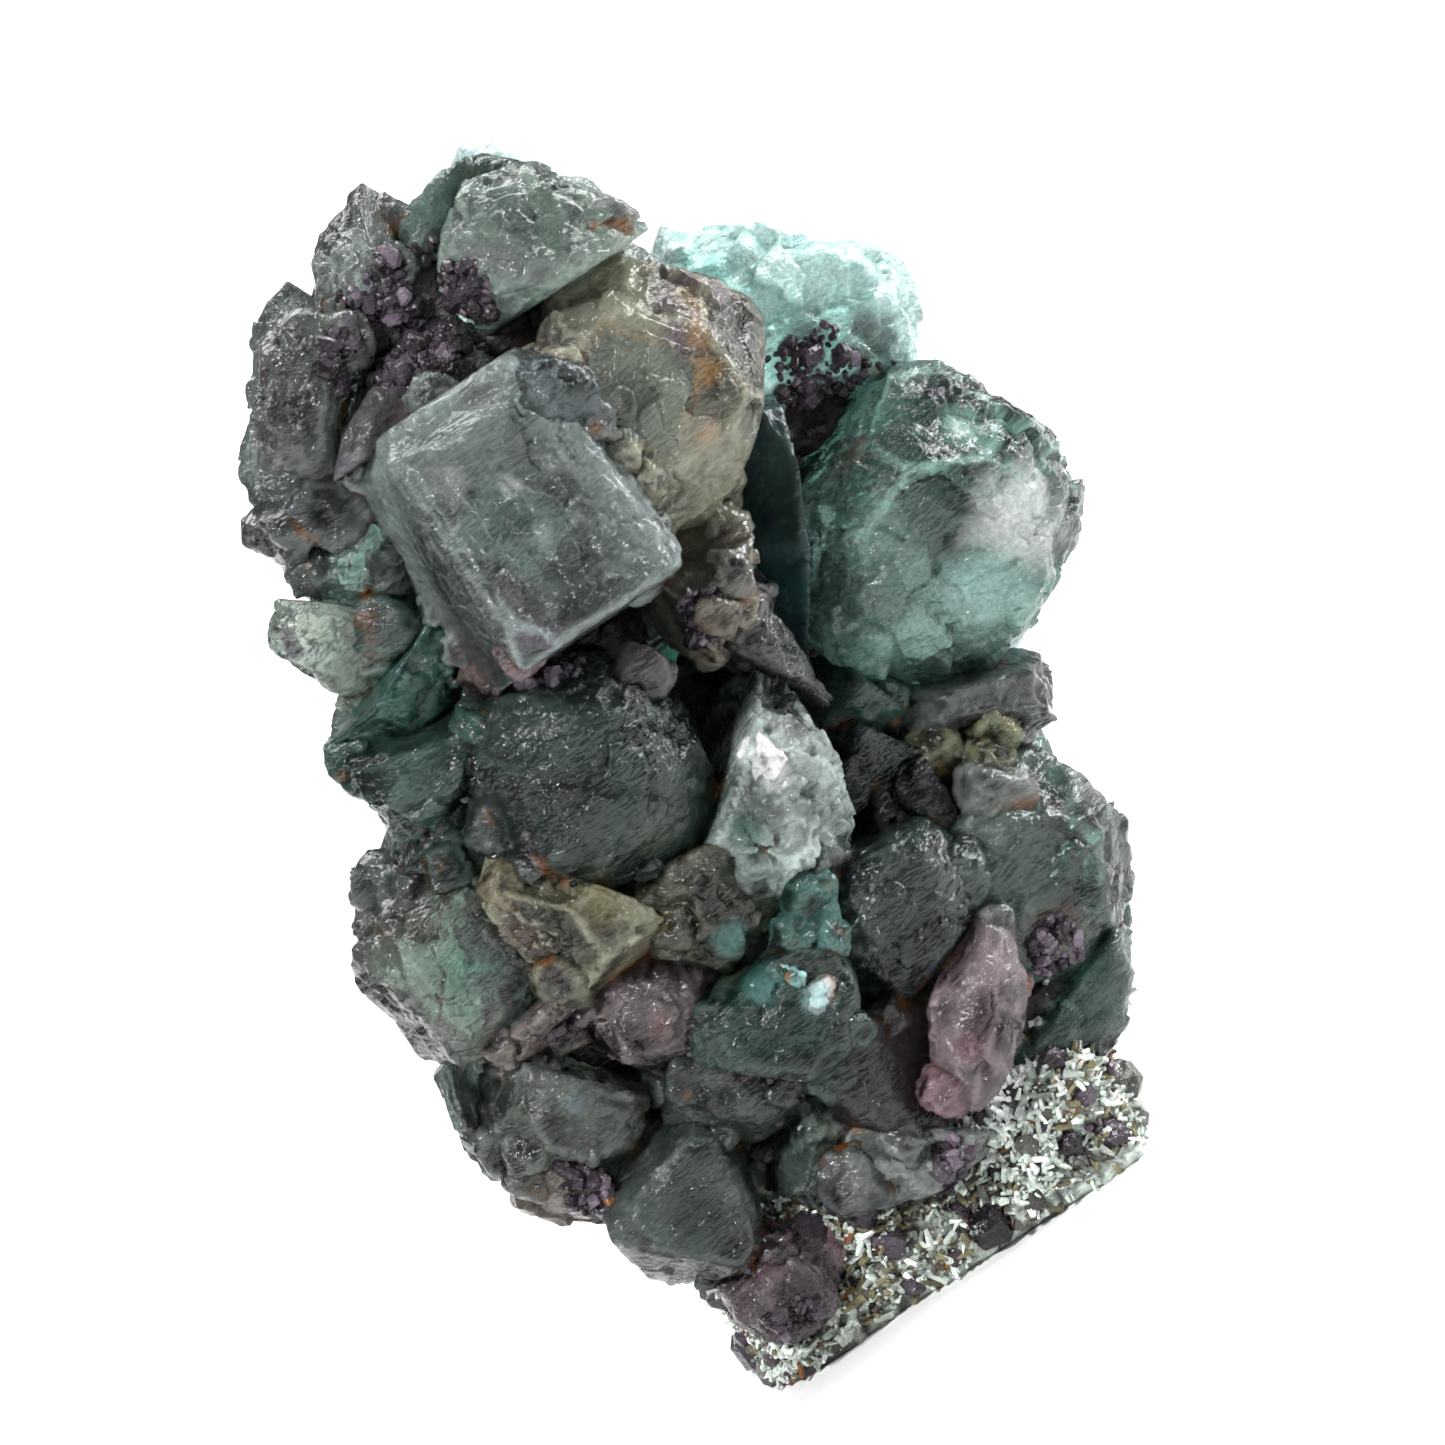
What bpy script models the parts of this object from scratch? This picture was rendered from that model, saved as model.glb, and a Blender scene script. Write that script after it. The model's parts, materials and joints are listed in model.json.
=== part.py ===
"""A fluorite specimen: intergrown fluorite crystals on a piece of broken matrix, standing on its base.

Every crystal is one convex solid, cut from a block by the planes of its habit: six cube faces, eight
octahedron faces and twelve dodecahedron faces. Crystals that grew earlier keep their shape, and a later
crystal ends at the face of the earlier one that it grew against. The matrix is one rough solid with a
socket for each crystal that roots in it, and its underside is the flat face that the specimen rests on.

Shapes are worked out in millimetres and scaled to metres when an object is made. Z is up, the front is
towards -Y, and the origin is the middle of the base.
"""

import math
import random
from itertools import product
from typing import NamedTuple

import bmesh
import bpy
from mathutils import Euler, Matrix, Vector, noise

# Driving dimensions, in millimetres and degrees.
TO_METRES = 0.001
GAP = 0.3  # clearance between neighbouring solids
FLOOR_CLEARANCE = 0.6  # the crystals stay this far above the base face
MALFORMATION = 0.08  # how unevenly the faces of one crystal grew, as a share of its size

# The crystals are laid out on a front elevation of the specimen as it is held up to be looked at: leaning
# LEAN degrees to the left of upright, and seen from LOOK_DOWN degrees above the level of the base.
LEAN = 33.0
LOOK_DOWN = 12.0
BASE_ACROSS, BASE_UP = 12.3, 8.3  # where the middle of the base lies on that elevation

# The matrix: its base block, and how rough the broken rock is.
BASE_HALF_LENGTH = 10.9
BASE_HALF_DEPTH = 8.8
BASE_HEIGHT = 6.5
ROCK_VOXEL = 1.0
ROCK_FACES = 1500
ROCK_ROUGHNESS = 0.9  # height of the bumps on the broken rock
ROCK_GRAIN = 2.6  # distance between the bumps

COLOURS = {
    "green_fluorite": ((0.10, 0.19, 0.17), 0.25),
    "grey_fluorite": ((0.22, 0.25, 0.24), 0.30),
    "amber_fluorite": ((0.30, 0.25, 0.17), 0.32),
    "mint_fluorite": ((0.30, 0.58, 0.50), 0.20),
    "lilac_fluorite": ((0.36, 0.24, 0.30), 0.25),
    "matrix_rock": ((0.20, 0.19, 0.17), 0.75),
}
GREEN, GREY, AMBER, MINT, LILAC, ROCK = COLOURS


class Crystal(NamedTuple):
    """One crystal: its place on the elevation and its depth, its half sizes, how it is turned, its habit.

    corner is how far out the octahedron faces lie: 1 makes an octahedron, 3 a plain cube. edge does the
    same for the dodecahedron faces: 1.41 with a corner of 1.73 is nearly round, and 2 has none of them.
    """

    name: str
    slot: str
    place: tuple
    half: tuple
    turn: tuple
    corner: float = 1.7
    edge: float = 1.6


# In the order in which they grew: a crystal is cut back only by those above it.
CRYSTALS = (
    # The tower's head and its large rhombic crystal.
    Crystal("great_rhomb", GREY, (-9.0, 43.6, -8.4), (6.5, 6.4, 4.6), (-14, 56, 0), 2.6, 1.9),
    Crystal("great_dome", GREEN, (-5.4, 31.5, -7.8), (5.6, 5.6, 5.4), (0, 20, 15), 1.8, 1.5),
    Crystal("great_ball", MINT, (10.8, 43.3, 1.5), (6.5, 6.4, 7.0), (12, 34, 20), 1.85, 1.6),
    Crystal("lilac_bean", LILAC, (13.6, 19.4, -9.2), (2.2, 2.4, 4.3), (0, 13, 0), 1.74, 1.44),
    Crystal("kite", GREY, (-0.7, 10.1, -8.2), (4.5, 4.6, 4.5), (35, -18, 45), 1.15, 1.7),
    Crystal("amber_block", AMBER, (-3.2, 49.6, -5.6), (5.2, 5.0, 5.6), (-6, 14, 12), 2.05, 1.8),
    Crystal("crown_plate", GREY, (-7.6, 56.4, -5.8), (4.3, 3.6, 3.4), (-25, 14, 10), 2.1, 1.75),
    Crystal("crown_green", GREEN, (-9.8, 57.2, -2.6), (4.4, 3.8, 3.8), (10, 0, 30), 1.8, 1.6),
    Crystal("crown_rear", MINT, (-9.9, 57.8, 3.0), (3.6, 4.0, 3.8), (0, 20, 25), 1.9, 1.7),
    Crystal("crown_left", GREY, (-15.0, 56.4, -1.6), (2.9, 3.4, 3.6), (10, 32, 15), 1.9, 1.7),
    Crystal("left_cheek", GREEN, (-19.1, 49.8, -5.6), (2.0, 2.6, 3.5), (0, 8, -12), 2.1, 1.75),
    Crystal("left_shoulder", GREY, (-19.0, 49.4, -1.8), (3.1, 4.0, 5.4), (0, 8, -10), 1.9, 1.7),
    Crystal("left_blade", GREY, (-15.4, 47.7, -5.6), (2.3, 3.4, 5.4), (5, 42, 20), 2.0, 1.75),
    Crystal("ledge_top", GREEN, (-16.6, 42.0, -3.8), (2.7, 3.2, 2.2), (0, -30, 10), 1.9, 1.7),
    Crystal("left_fold", GREY, (-18.6, 45.0, -3.4), (3.6, 3.6, 2.8), (0, -38, 10), 1.9, 1.7),
    Crystal("amber_lower", AMBER, (-1.9, 42.6, -5.2), (3.6, 4.2, 5.2), (0, -8, 10), 2.0, 1.7),
    # The ledge and the flank on the left, below the head.
    Crystal("ledge_pale", GREY, (-17.2, 39.2, -3.8), (2.8, 3.2, 3.3), (12, 32, 20), 2.1, 1.8),
    Crystal("ledge_teal", GREEN, (-15.9, 36.7, -4.4), (3.4, 3.4, 3.2), (10, -26, 15), 2.0, 1.75),
    Crystal("west_corner", GREEN, (-12.0, 21.9, -5.4), (3.5, 4.0, 3.5), (-4, 47, 12), 2.4, 1.9),
    Crystal("flank_upper", GREEN, (-12.9, 33.2, -5.6), (3.5, 3.8, 4.4), (0, 28, 10), 2.0, 1.75),
    Crystal("flank_mid", GREEN, (-13.1, 28.9, -3.6), (3.2, 4.0, 4.1), (0, -14, 20), 1.9, 1.7),
    Crystal("flank_low", GREY, (-13.4, 25.4, -2.8), (3.0, 3.6, 3.6), (0, -18, 15), 1.9, 1.7),
    # The body's front, from the broken crystal down to the toe.
    Crystal("silver_break", GREEN, (1.4, 30.8, -6.1), (4.5, 5.0, 5.8), (0, -26, 15), 1.85, 1.7),
    Crystal("silver_tooth", GREEN, (0.2, 26.6, -7.8), (3.0, 3.6, 4.6), (0, 12, 30), 2.0, 1.7),
    Crystal("dome_skirt", AMBER, (-6.1, 25.2, -8.1), (4.6, 4.2, 4.4), (10, 8, 25), 1.6, 1.75),
    Crystal("spine", GREY, (1.9, 36.6, -4.2), (2.4, 3.6, 5.4), (0, -38, 10), 2.0, 1.75),
    Crystal("grey_dome", GREEN, (9.3, 24.8, -6.6), (4.0, 4.2, 4.4), (0, -15, 20), 1.8, 1.5),
    Crystal("teal_block", GREEN, (3.2, 20.2, -8.7), (3.7, 3.8, 3.4), (0, 8, 12), 2.4, 1.9),
    Crystal("teal_window", GREEN, (4.1, 25.0, -7.6), (3.3, 3.8, 3.5), (0, 14, 10), 2.1, 1.8),
    Crystal("waist_rose", LILAC, (-2.3, 19.9, -7.8), (3.3, 3.0, 2.8), (10, 20, 0), 1.9, 1.7),
    Crystal("waist_crust", AMBER, (-7.4, 20.6, -7.0), (3.9, 3.8, 3.4), (15, 10, 30), 1.8, 1.6),
    Crystal("foot_dome", GREEN, (0.9, 16.2, -7.4), (3.7, 3.6, 3.2), (0, 12, 25), 1.8, 1.5),
    Crystal("foot_window", GREY, (-6.7, 15.6, -6.0), (3.4, 3.6, 3.0), (8, 14, 20), 2.1, 1.75),
    Crystal("foot_west", GREY, (-9.8, 15.6, -3.8), (2.4, 3.4, 3.1), (0, -22, 0), 2.0, 1.7),
    Crystal("foot_bar", GREY, (-5.5, 12.1, -5.6), (3.5, 3.6, 2.4), (0, -6, 10), 2.1, 1.8),
    Crystal("black_facet", GREEN, (9.4, 17.7, -7.0), (4.2, 3.8, 3.4), (10, 6, 15), 2.2, 1.85),
    Crystal("fractured_grey", GREY, (10.2, 14.0, -7.0), (3.8, 3.4, 2.9), (0, -30, 10), 2.1, 1.8),
    Crystal("pale_green", GREEN, (5.2, 14.4, -7.1), (3.2, 3.2, 3.4), (0, 30, 20), 2.0, 1.75),
    Crystal("toe_violet", LILAC, (3.9, 6.3, -8.0), (2.4, 3.0, 2.3), (8, 20, 25), 1.9, 1.7),
    # The right lobe, behind the valley.
    Crystal("mint_cap", MINT, (3.9, 52.8, 7.4), (6.0, 5.4, 4.9), (-8, 6, 10), 2.2, 1.8),
    Crystal("blue_slab", GREEN, (2.8, 43.0, -1.2), (2.9, 4.0, 6.0), (0, 4, 12), 2.3, 1.85),
    Crystal("east_block", GREEN, (15.5, 26.3, -1.6), (4.7, 5.0, 5.1), (8, 38, 20), 2.0, 1.75),
    Crystal("under_ball", GREY, (13.4, 35.3, 0.6), (3.5, 3.8, 3.3), (0, 32, 20), 1.9, 1.7),
    Crystal("east_bead", AMBER, (13.9, 31.8, 0.4), (3.1, 3.6, 3.0), (0, 10, 20), 1.8, 1.6),
    Crystal("green_inner", GREEN, (6.9, 37.8, 0.2), (3.8, 4.2, 4.2), (0, 20, 30), 2.0, 1.75),
    Crystal("cave_west", GREEN, (7.6, 32.2, 0.0), (4.4, 4.4, 4.4), (10, -15, 20), 2.0, 1.75),
    Crystal("cave_east", GREEN, (11.8, 30.4, -0.6), (3.8, 4.2, 3.8), (0, 25, 10), 2.0, 1.75),
    Crystal("east_low", GREEN, (17.1, 20.6, -2.6), (3.4, 4.0, 3.9), (0, 10, 20), 2.1, 1.8),
    # The back, where the crystals are larger and fewer.
    Crystal("back_heart", GREEN, (1.6, 35.0, 8.4), (6.3, 5.6, 6.1), (10, 15, 25), 1.85, 1.6),
    Crystal("back_tower_mid", GREY, (-6.9, 41.0, 6.4), (5.8, 5.2, 6.0), (0, 30, 10), 1.7, 1.7),
    Crystal("back_centre", GREEN, (5.4, 24.6, 8.8), (5.9, 5.2, 5.5), (15, -20, 35), 1.85, 1.7),
    Crystal("back_tower_high", GREEN, (-12.2, 48.0, 4.6), (5.6, 5.0, 5.6), (0, -15, 30), 1.9, 1.65),
    Crystal("back_ball", MINT, (11.4, 41.0, 9.4), (5.2, 4.8, 5.2), (20, 10, 10), 1.8, 1.6),
    Crystal("back_crown", GREY, (-4.4, 52.9, 3.8), (4.7, 4.6, 4.2), (0, 35, 15), 1.85, 1.65),
    Crystal("back_tower_low", GREEN, (-10.8, 33.6, 5.2), (5.0, 5.0, 5.6), (0, 20, 25), 1.85, 1.65),
    Crystal("back_east", GREEN, (12.4, 30.8, 7.2), (4.8, 4.8, 5.0), (10, -25, 20), 1.8, 1.65),
    Crystal("back_waist", GREY, (-4.8, 25.4, 7.2), (5.2, 4.8, 5.0), (0, 10, 40), 1.9, 1.7),
    Crystal("back_foot_west", AMBER, (-4.2, 16.8, 5.2), (4.4, 4.6, 4.3), (10, 30, 15), 1.95, 1.7),
    Crystal("back_foot_east", GREEN, (14.6, 20.4, 6.0), (5.0, 4.6, 4.6), (0, -20, 25), 1.9, 1.7),
)

# The lumps that the rock is made of: a place on the elevation, with its depth, and a radius.
ROCK_LUMPS = (
    ((-10.0, 54.4, -0.8), 4.6),
    ((-15.2, 53.2, -1.6), 4.2),
    ((-12.6, 50.6, -1.2), 5.4),
    ((-11.0, 46.0, -0.6), 6.4),
    ((-9.5, 39.0, -0.2), 6.8),
    ((-8.5, 33.0, 0.0), 7.0),
    ((-6.0, 27.0, 0.2), 7.4),
    ((-2.5, 21.0, 0.4), 7.8),
    ((2.0, 15.0, 0.4), 7.8),
    ((0.5, 46.0, 1.6), 3.8),
    ((3.6, 38.0, 3.4), 5.0),
    ((3.0, 30.0, 2.4), 6.6),
    ((6.5, 49.0, 5.4), 4.0),
    ((10.5, 42.0, 5.0), 5.2),
    ((11.0, 35.0, 5.0), 5.4),
    ((11.5, 28.0, 3.4), 6.4),
    ((14.0, 21.0, 1.0), 6.8),
    ((8.0, 18.0, 0.6), 7.8),
)


def elevation_turn():
    """The rotation from the front elevation (across, away, up) to the standing specimen."""
    return Matrix.Rotation(-math.radians(LOOK_DOWN), 3, "X") @ Matrix.Rotation(math.radians(LEAN), 3, "Y")


def stand(place):
    """The point of the standing specimen that shows at (across, up) on the elevation, depth behind it."""
    across, up, depth = place
    seen = Matrix.Rotation(math.radians(LEAN), 3, "Y") @ Vector((across - BASE_ACROSS, 0, up - BASE_UP))
    look = math.radians(LOOK_DOWN)
    return Vector((seen.x, depth, (seen.z - depth * math.sin(look)) / math.cos(look)))


def habit_planes(crystal):
    """The planes that bound a crystal, as (outward normal, distance from the origin), still uncut."""
    growth = random.Random(crystal.name)
    centre = stand(crystal.place)
    turn = elevation_turn() @ Euler([math.radians(angle) for angle in crystal.turn]).to_matrix()
    planes = []
    for signs in product((-1, 0, 1), repeat=3):
        faces = sum(map(abs, signs))
        if not faces:
            continue
        limit = (1.0, crystal.edge, crystal.corner)[faces - 1]
        normal = Vector([sign / half for sign, half in zip(signs, crystal.half)])
        reach = limit / normal.length * (1 + growth.uniform(-MALFORMATION, MALFORMATION))
        normal = (turn @ normal).normalized()
        planes.append((normal, normal.dot(centre) + reach))
    return planes


def cut_block(planes, centre, reach):
    """A block around centre, cut by every plane: the part of it that lies behind all of them."""
    solid = bmesh.new()
    bmesh.ops.create_cube(solid, size=4 * reach, matrix=Matrix.Translation(centre))
    for normal, distance in planes:
        everything = solid.verts[:] + solid.edges[:] + solid.faces[:]
        bmesh.ops.bisect_plane(
            solid,
            geom=everything,
            dist=1e-5,
            plane_co=normal * distance,
            plane_no=normal,
            clear_outer=True,
        )
        rim = [edge for edge in solid.edges if edge.is_boundary]
        if rim:
            bmesh.ops.holes_fill(solid, edges=rim)
    bmesh.ops.remove_doubles(solid, verts=solid.verts, dist=1e-3)
    bmesh.ops.dissolve_degenerate(solid, edges=solid.edges, dist=1e-3)
    return solid


def grown(planes, by):
    return [(normal, distance + by) for normal, distance in planes]


def apart(planes, points):
    """Whether one of the planes has all the points at least the gap in front of it."""
    return any(all(normal.dot(point) - distance >= GAP for point in points) for normal, distance in planes)


def meeting_plane(planes, points):
    """The face of an earlier crystal that leaves most of the later one, which owns the points."""

    def share_lost(plane):
        heights = [plane[0].dot(point) - plane[1] for point in points]
        return (GAP - min(heights)) / (max(heights) - min(heights))

    normal, distance = min(planes, key=share_lost)
    return -normal, -(distance + GAP)


def grow_crystals():
    """Each crystal's planes, centre and reach, once it is cut back by those that grew before it."""
    floor = (Vector((0, 0, -1)), -FLOOR_CLEARANCE)
    grown_so_far = {}
    for crystal in CRYSTALS:
        centre = stand(crystal.place)
        reach = max(crystal.half)
        planes = [*habit_planes(crystal), floor]
        for earlier_planes, earlier_points in list(grown_so_far.values()):
            solid = cut_block(planes, centre, reach)
            points = [vert.co.copy() for vert in solid.verts]
            solid.free()
            if apart(earlier_planes, points) or apart(planes, earlier_points):
                continue
            planes.append(meeting_plane(earlier_planes, points))
        solid = cut_block(planes, centre, reach)
        grown_so_far[crystal.name] = (planes, [vert.co.copy() for vert in solid.verts])
        solid.free()
    return {name: planes for name, (planes, _) in grown_so_far.items()}


def material(slot):
    made = bpy.data.materials.get(slot) or bpy.data.materials.new(slot)
    made.use_nodes = True
    colour, roughness = COLOURS[slot]
    shader = made.node_tree.nodes["Principled BSDF"]
    shader.inputs["Base Color"].default_value = (*colour, 1)
    shader.inputs["Roughness"].default_value = roughness
    shader.inputs["Metallic"].default_value = 0.0
    made.diffuse_color = (*colour, 1)
    return made


def add_object(name, solid):
    """An object from a bmesh, which it frees."""
    mesh = bpy.data.meshes.new(name)
    solid.to_mesh(mesh)
    solid.free()
    placed = bpy.data.objects.new(name, mesh)
    bpy.context.scene.collection.objects.link(placed)
    return placed


def finish_object(placed, slot, origin):
    """Scales the object to metres, moves its own origin to the given point and gives it its material."""
    placed.data.transform(Matrix.Scale(TO_METRES, 4) @ Matrix.Translation(-origin))
    placed.location = origin * TO_METRES
    placed.data.materials.append(material(slot))


def evaluated(placed, *modifiers):
    """Applies modifiers, given as (type, {setting: value}), to the object's mesh, one after another."""
    for kind, settings in modifiers:
        modifier = placed.modifiers.new(kind.title(), kind)
        for setting, value in settings.items():
            setattr(modifier, setting, value)
    bpy.context.view_layer.update()
    graph = bpy.context.evaluated_depsgraph_get()
    mesh = bpy.data.meshes.new_from_object(placed.evaluated_get(graph))
    placed.modifiers.clear()
    placed.data = mesh


def rough_lump():
    """The whole piece of rock, before the crystals' sockets: lumps and a base block, grown into one."""
    solid = bmesh.new()
    for place, radius in ROCK_LUMPS:
        bmesh.ops.create_icosphere(
            solid, subdivisions=3, radius=radius, matrix=Matrix.Translation(stand(place))
        )
    block = Matrix.Diagonal((2 * BASE_HALF_LENGTH, 2 * BASE_HALF_DEPTH, 2 * BASE_HEIGHT, 1))
    bmesh.ops.create_cube(solid, size=1, matrix=block)
    rock = add_object("matrix", solid)
    evaluated(rock, ("REMESH", {"mode": "VOXEL", "voxel_size": ROCK_VOXEL}), ("SMOOTH", {"iterations": 3}))
    for vertex in rock.data.vertices:
        bump = noise.noise(vertex.co / ROCK_GRAIN) + 0.5 * noise.noise(vertex.co * 2 / ROCK_GRAIN)
        vertex.co += vertex.normal * ROCK_ROUGHNESS * bump
    share = ROCK_FACES / (2 * len(rock.data.polygons))
    evaluated(rock, ("DECIMATE", {"ratio": share}))
    return rock


def keep_largest(placed):
    """Drops all but the largest body of a mesh, such as the crumbs that the sockets leave."""
    solid = bmesh.new()
    solid.from_mesh(placed.data)
    unseen = set(solid.verts)
    bodies = []
    while unseen:
        reached, edge_of_search = set(), [unseen.pop()]
        while edge_of_search:
            vertex = edge_of_search.pop()
            reached.add(vertex)
            near = {edge.other_vert(vertex) for edge in vertex.link_edges}
            edge_of_search.extend(near & unseen)
            unseen -= near
        bodies.append(reached)
    bodies.sort(key=len)
    crumbs = [vertex for body in bodies[:-1] for vertex in body]
    bmesh.ops.delete(solid, geom=crumbs, context="VERTS")
    solid.to_mesh(placed.data)
    solid.free()


def cut_away(placed, cutter, solver):
    """Takes the cutter's shape out of the object, and removes the cutter."""
    cut = {"operation": "DIFFERENCE", "solver": solver, "object": cutter}
    evaluated(placed, ("BOOLEAN", cut))
    bpy.data.objects.remove(cutter)


def make_matrix(crystal_planes):
    """The rock, with its flat base and a socket, a gap wider than the crystal, for every crystal."""
    rock = rough_lump()
    below = bmesh.new()
    size = 200.0
    bmesh.ops.create_cube(below, size=size, matrix=Matrix.Translation((0, 0, -size / 2)))
    cut_away(rock, add_object("below_base", below), "EXACT")
    for crystal in CRYSTALS:
        planes = grown(crystal_planes[crystal.name], GAP)
        solid = cut_block(planes, stand(crystal.place), max(crystal.half))
        # The sockets run into one another at very flat angles, which the exact solver does not survive.
        cut_away(rock, add_object("socket", solid), "MANIFOLD")
    keep_largest(rock)
    finish_object(rock, ROCK, Vector((0, 0, 0)))


def main():
    for leftover in list(bpy.data.objects):
        bpy.data.objects.remove(leftover)
    crystal_planes = grow_crystals()
    make_matrix(crystal_planes)
    for crystal in CRYSTALS:
        centre = stand(crystal.place)
        solid = cut_block(crystal_planes[crystal.name], centre, max(crystal.half))
        finish_object(add_object(crystal.name, solid), crystal.slot, centre)


if __name__ == "__main__":
    main()
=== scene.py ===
"""The look of a fluorite specimen: etched, translucent crystals crowded on a broken, granular matrix.

Every crystal is grown from the planes of its solid in the frame: a sphere's points are pushed out to the
planes, and the relief of its faces (growth steps, a mosaic of blocks, etching, chipped edges) is laid on
the planes themselves, so that neighbours meet along clean lines. Lengths inside the functions are
millimetres, and a mesh is scaled to metres when its object is made.
"""

import json
import math
import random
from itertools import product
from typing import NamedTuple

import bmesh
import bpy
import numpy as np
from bpy.props import FloatProperty, FloatVectorProperty, IntProperty, PointerProperty
from mathutils import Euler, Matrix, Vector

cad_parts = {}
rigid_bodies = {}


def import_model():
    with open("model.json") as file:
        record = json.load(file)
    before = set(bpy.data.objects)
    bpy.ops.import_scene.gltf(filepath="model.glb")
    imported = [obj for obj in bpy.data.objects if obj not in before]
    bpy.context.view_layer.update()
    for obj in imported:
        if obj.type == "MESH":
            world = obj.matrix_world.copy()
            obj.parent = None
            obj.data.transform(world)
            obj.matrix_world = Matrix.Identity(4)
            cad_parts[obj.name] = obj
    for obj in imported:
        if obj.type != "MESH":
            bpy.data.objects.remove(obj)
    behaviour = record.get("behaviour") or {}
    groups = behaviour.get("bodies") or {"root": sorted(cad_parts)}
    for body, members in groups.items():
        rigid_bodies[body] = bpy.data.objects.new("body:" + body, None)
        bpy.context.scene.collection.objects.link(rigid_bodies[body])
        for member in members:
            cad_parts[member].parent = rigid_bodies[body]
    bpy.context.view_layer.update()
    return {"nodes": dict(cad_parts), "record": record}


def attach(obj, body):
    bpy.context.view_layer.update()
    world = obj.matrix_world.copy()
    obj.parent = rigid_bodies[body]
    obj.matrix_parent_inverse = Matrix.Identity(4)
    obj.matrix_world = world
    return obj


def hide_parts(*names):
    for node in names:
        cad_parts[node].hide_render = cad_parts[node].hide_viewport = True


bl_info = {
    "name": "Fluorite specimen",
    "version": (1, 0, 0),
    "blender": (4, 5, 0),
    "location": "View3D > Sidebar > Specimen",
    "description": "Finishes a fluorite specimen around its solid model",
    "category": "Object",
}

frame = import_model()

TO_METRES = 0.001
GAP = 0.3  # between neighbouring solids of the frame
FAR = 9.0  # farther than anything that counts as near
DARKEST = 0.002  # of the colours, so that no surface is quite black
ROCK_NODE = "matrix"
CRYSTAL_NODES = sorted(name for name in frame["nodes"] if name != ROCK_NODE)
SLOTS = {row["node"]: row["material_slot"] for row in frame["record"]["subparts"]}

# The specimen is looked at from the front, a little from above, and held leaning to the left of upright.
# "Across" and "up" below are as it is seen like that.
LEAN = math.radians(33)
LOOK_DOWN = math.radians(12)
VIEW_ACROSS, VIEW_UP = -11.175, 25.575  # the middle of the view, from the middle of the base
HELD_TO_STANDING = Matrix.Rotation(-LOOK_DOWN, 3, "X") @ Matrix.Rotation(LEAN, 3, "Y")
ACROSS, AWAY, UP = (np.array(HELD_TO_STANDING.col[axis]) for axis in range(3))


# ---------------------------------------------------------------------------------------------------------
# Noise, on arrays of points
# ---------------------------------------------------------------------------------------------------------


STRIDES = tuple(np.uint32(stride) for stride in (374761393, 668265263, 2246822519))


def strides(base):
    """The contribution of each axis of rows of whole numbers to their hash."""
    whole = base.astype(np.int32).astype(np.uint32)
    return [whole[:, axis] * STRIDES[axis] for axis in range(3)]


def stirred(total, seed):
    """A repeatable number from 0 to 1 for each sum of strides."""
    total = total + np.uint32((seed * 3266489917) % 2**32)
    total = (total ^ (total >> np.uint32(13))) * np.uint32(1274126177)
    total = (total ^ (total >> np.uint32(16))) * np.uint32(2654435761)
    return (total ^ (total >> np.uint32(15))) * (1 / 2**32)


def smooth_noise(points, size, seed):
    """Soft noise from -1 to 1 whose bumps are about size apart."""
    scaled = points / size
    base = np.floor(scaled)
    part = scaled - base
    blend = part * part * (3 - 2 * part)
    sums = strides(base)
    steps = [(sums[axis], sums[axis] + STRIDES[axis]) for axis in range(3)]
    shares = [(1 - blend[:, axis], blend[:, axis]) for axis in range(3)]
    total = np.zeros(len(points))
    for i, j in product((0, 1), repeat=2):
        flat, share = steps[0][i] + steps[1][j], shares[0][i] * shares[1][j]
        for k in (0, 1):
            total += share * shares[2][k] * stirred(flat + steps[2][k], seed)
    return total * 2 - 1


def layered_noise(points, size, seed, layers=3):
    """Smooth noise with finer and weaker noise added to it."""
    total, height, most = 0.0, 1.0, 0.0
    for layer in range(layers):
        total = total + height * smooth_noise(points, size / 2**layer, seed + layer)
        most += height
        height *= 0.55
    return total / most


def cells(points, size, seed):
    """Irregular cells: the distances to the two nearest seeds, the cell's number, the way from its seed."""
    scaled = points / size
    base = np.floor(scaled - 0.5)
    first = np.full(len(points), FAR)
    second = np.full(len(points), FAR)
    number = np.zeros(len(points))
    away = np.zeros_like(points)
    for step in product((0, 1), repeat=3):
        cell = base + np.array(step)
        total = sum(strides(cell))
        jitter = np.stack([stirred(total, seed + shift) for shift in (11, 23, 37)], axis=1)
        way = scaled - (cell + 0.1 + 0.8 * jitter)
        length = np.sqrt((way * way) @ np.ones(3))
        nearer = length < first
        second = np.where(nearer, first, np.minimum(second, length))
        first = np.where(nearer, length, first)
        number = np.where(nearer, stirred(total, seed + 51), number)
        away = np.where(nearer[:, None], way, away)
    return first * size, second * size, number, away * size


def ramp(value, low, high):
    """0 below low, 1 above high, and smooth in between."""
    share = np.clip((value - low) / (high - low), 0, 1)
    return share * share * (3 - 2 * share)


def seed_of(name):
    """A number of its own for each name."""
    return sum(ord(letter) * (place + 3) for place, letter in enumerate(name)) % 100003


# ---------------------------------------------------------------------------------------------------------
# The solids of the frame
# ---------------------------------------------------------------------------------------------------------


SAME_WAY = 0.9995  # the dot product from which two normals count as one
OPPOSED = -0.999  # and the one under which two faces look at each other


class Solid(NamedTuple):
    """A convex solid: its faces' outward normals and distances, its middle and half its size."""

    normals: np.ndarray
    distances: np.ndarray
    middle: np.ndarray
    reach: float


def read_vectors(items, name):
    """One vector of each vertex or face of a mesh, as rows."""
    flat = np.empty(len(items) * 3, np.float32)
    items.foreach_get(name, flat)
    return flat.reshape(-1, 3).astype(float)


def read_points(mesh):
    """The vertices of a mesh and their normals, in millimetres."""
    return read_vectors(mesh.vertices, "co") / TO_METRES, read_vectors(mesh.vertices, "normal")


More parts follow.
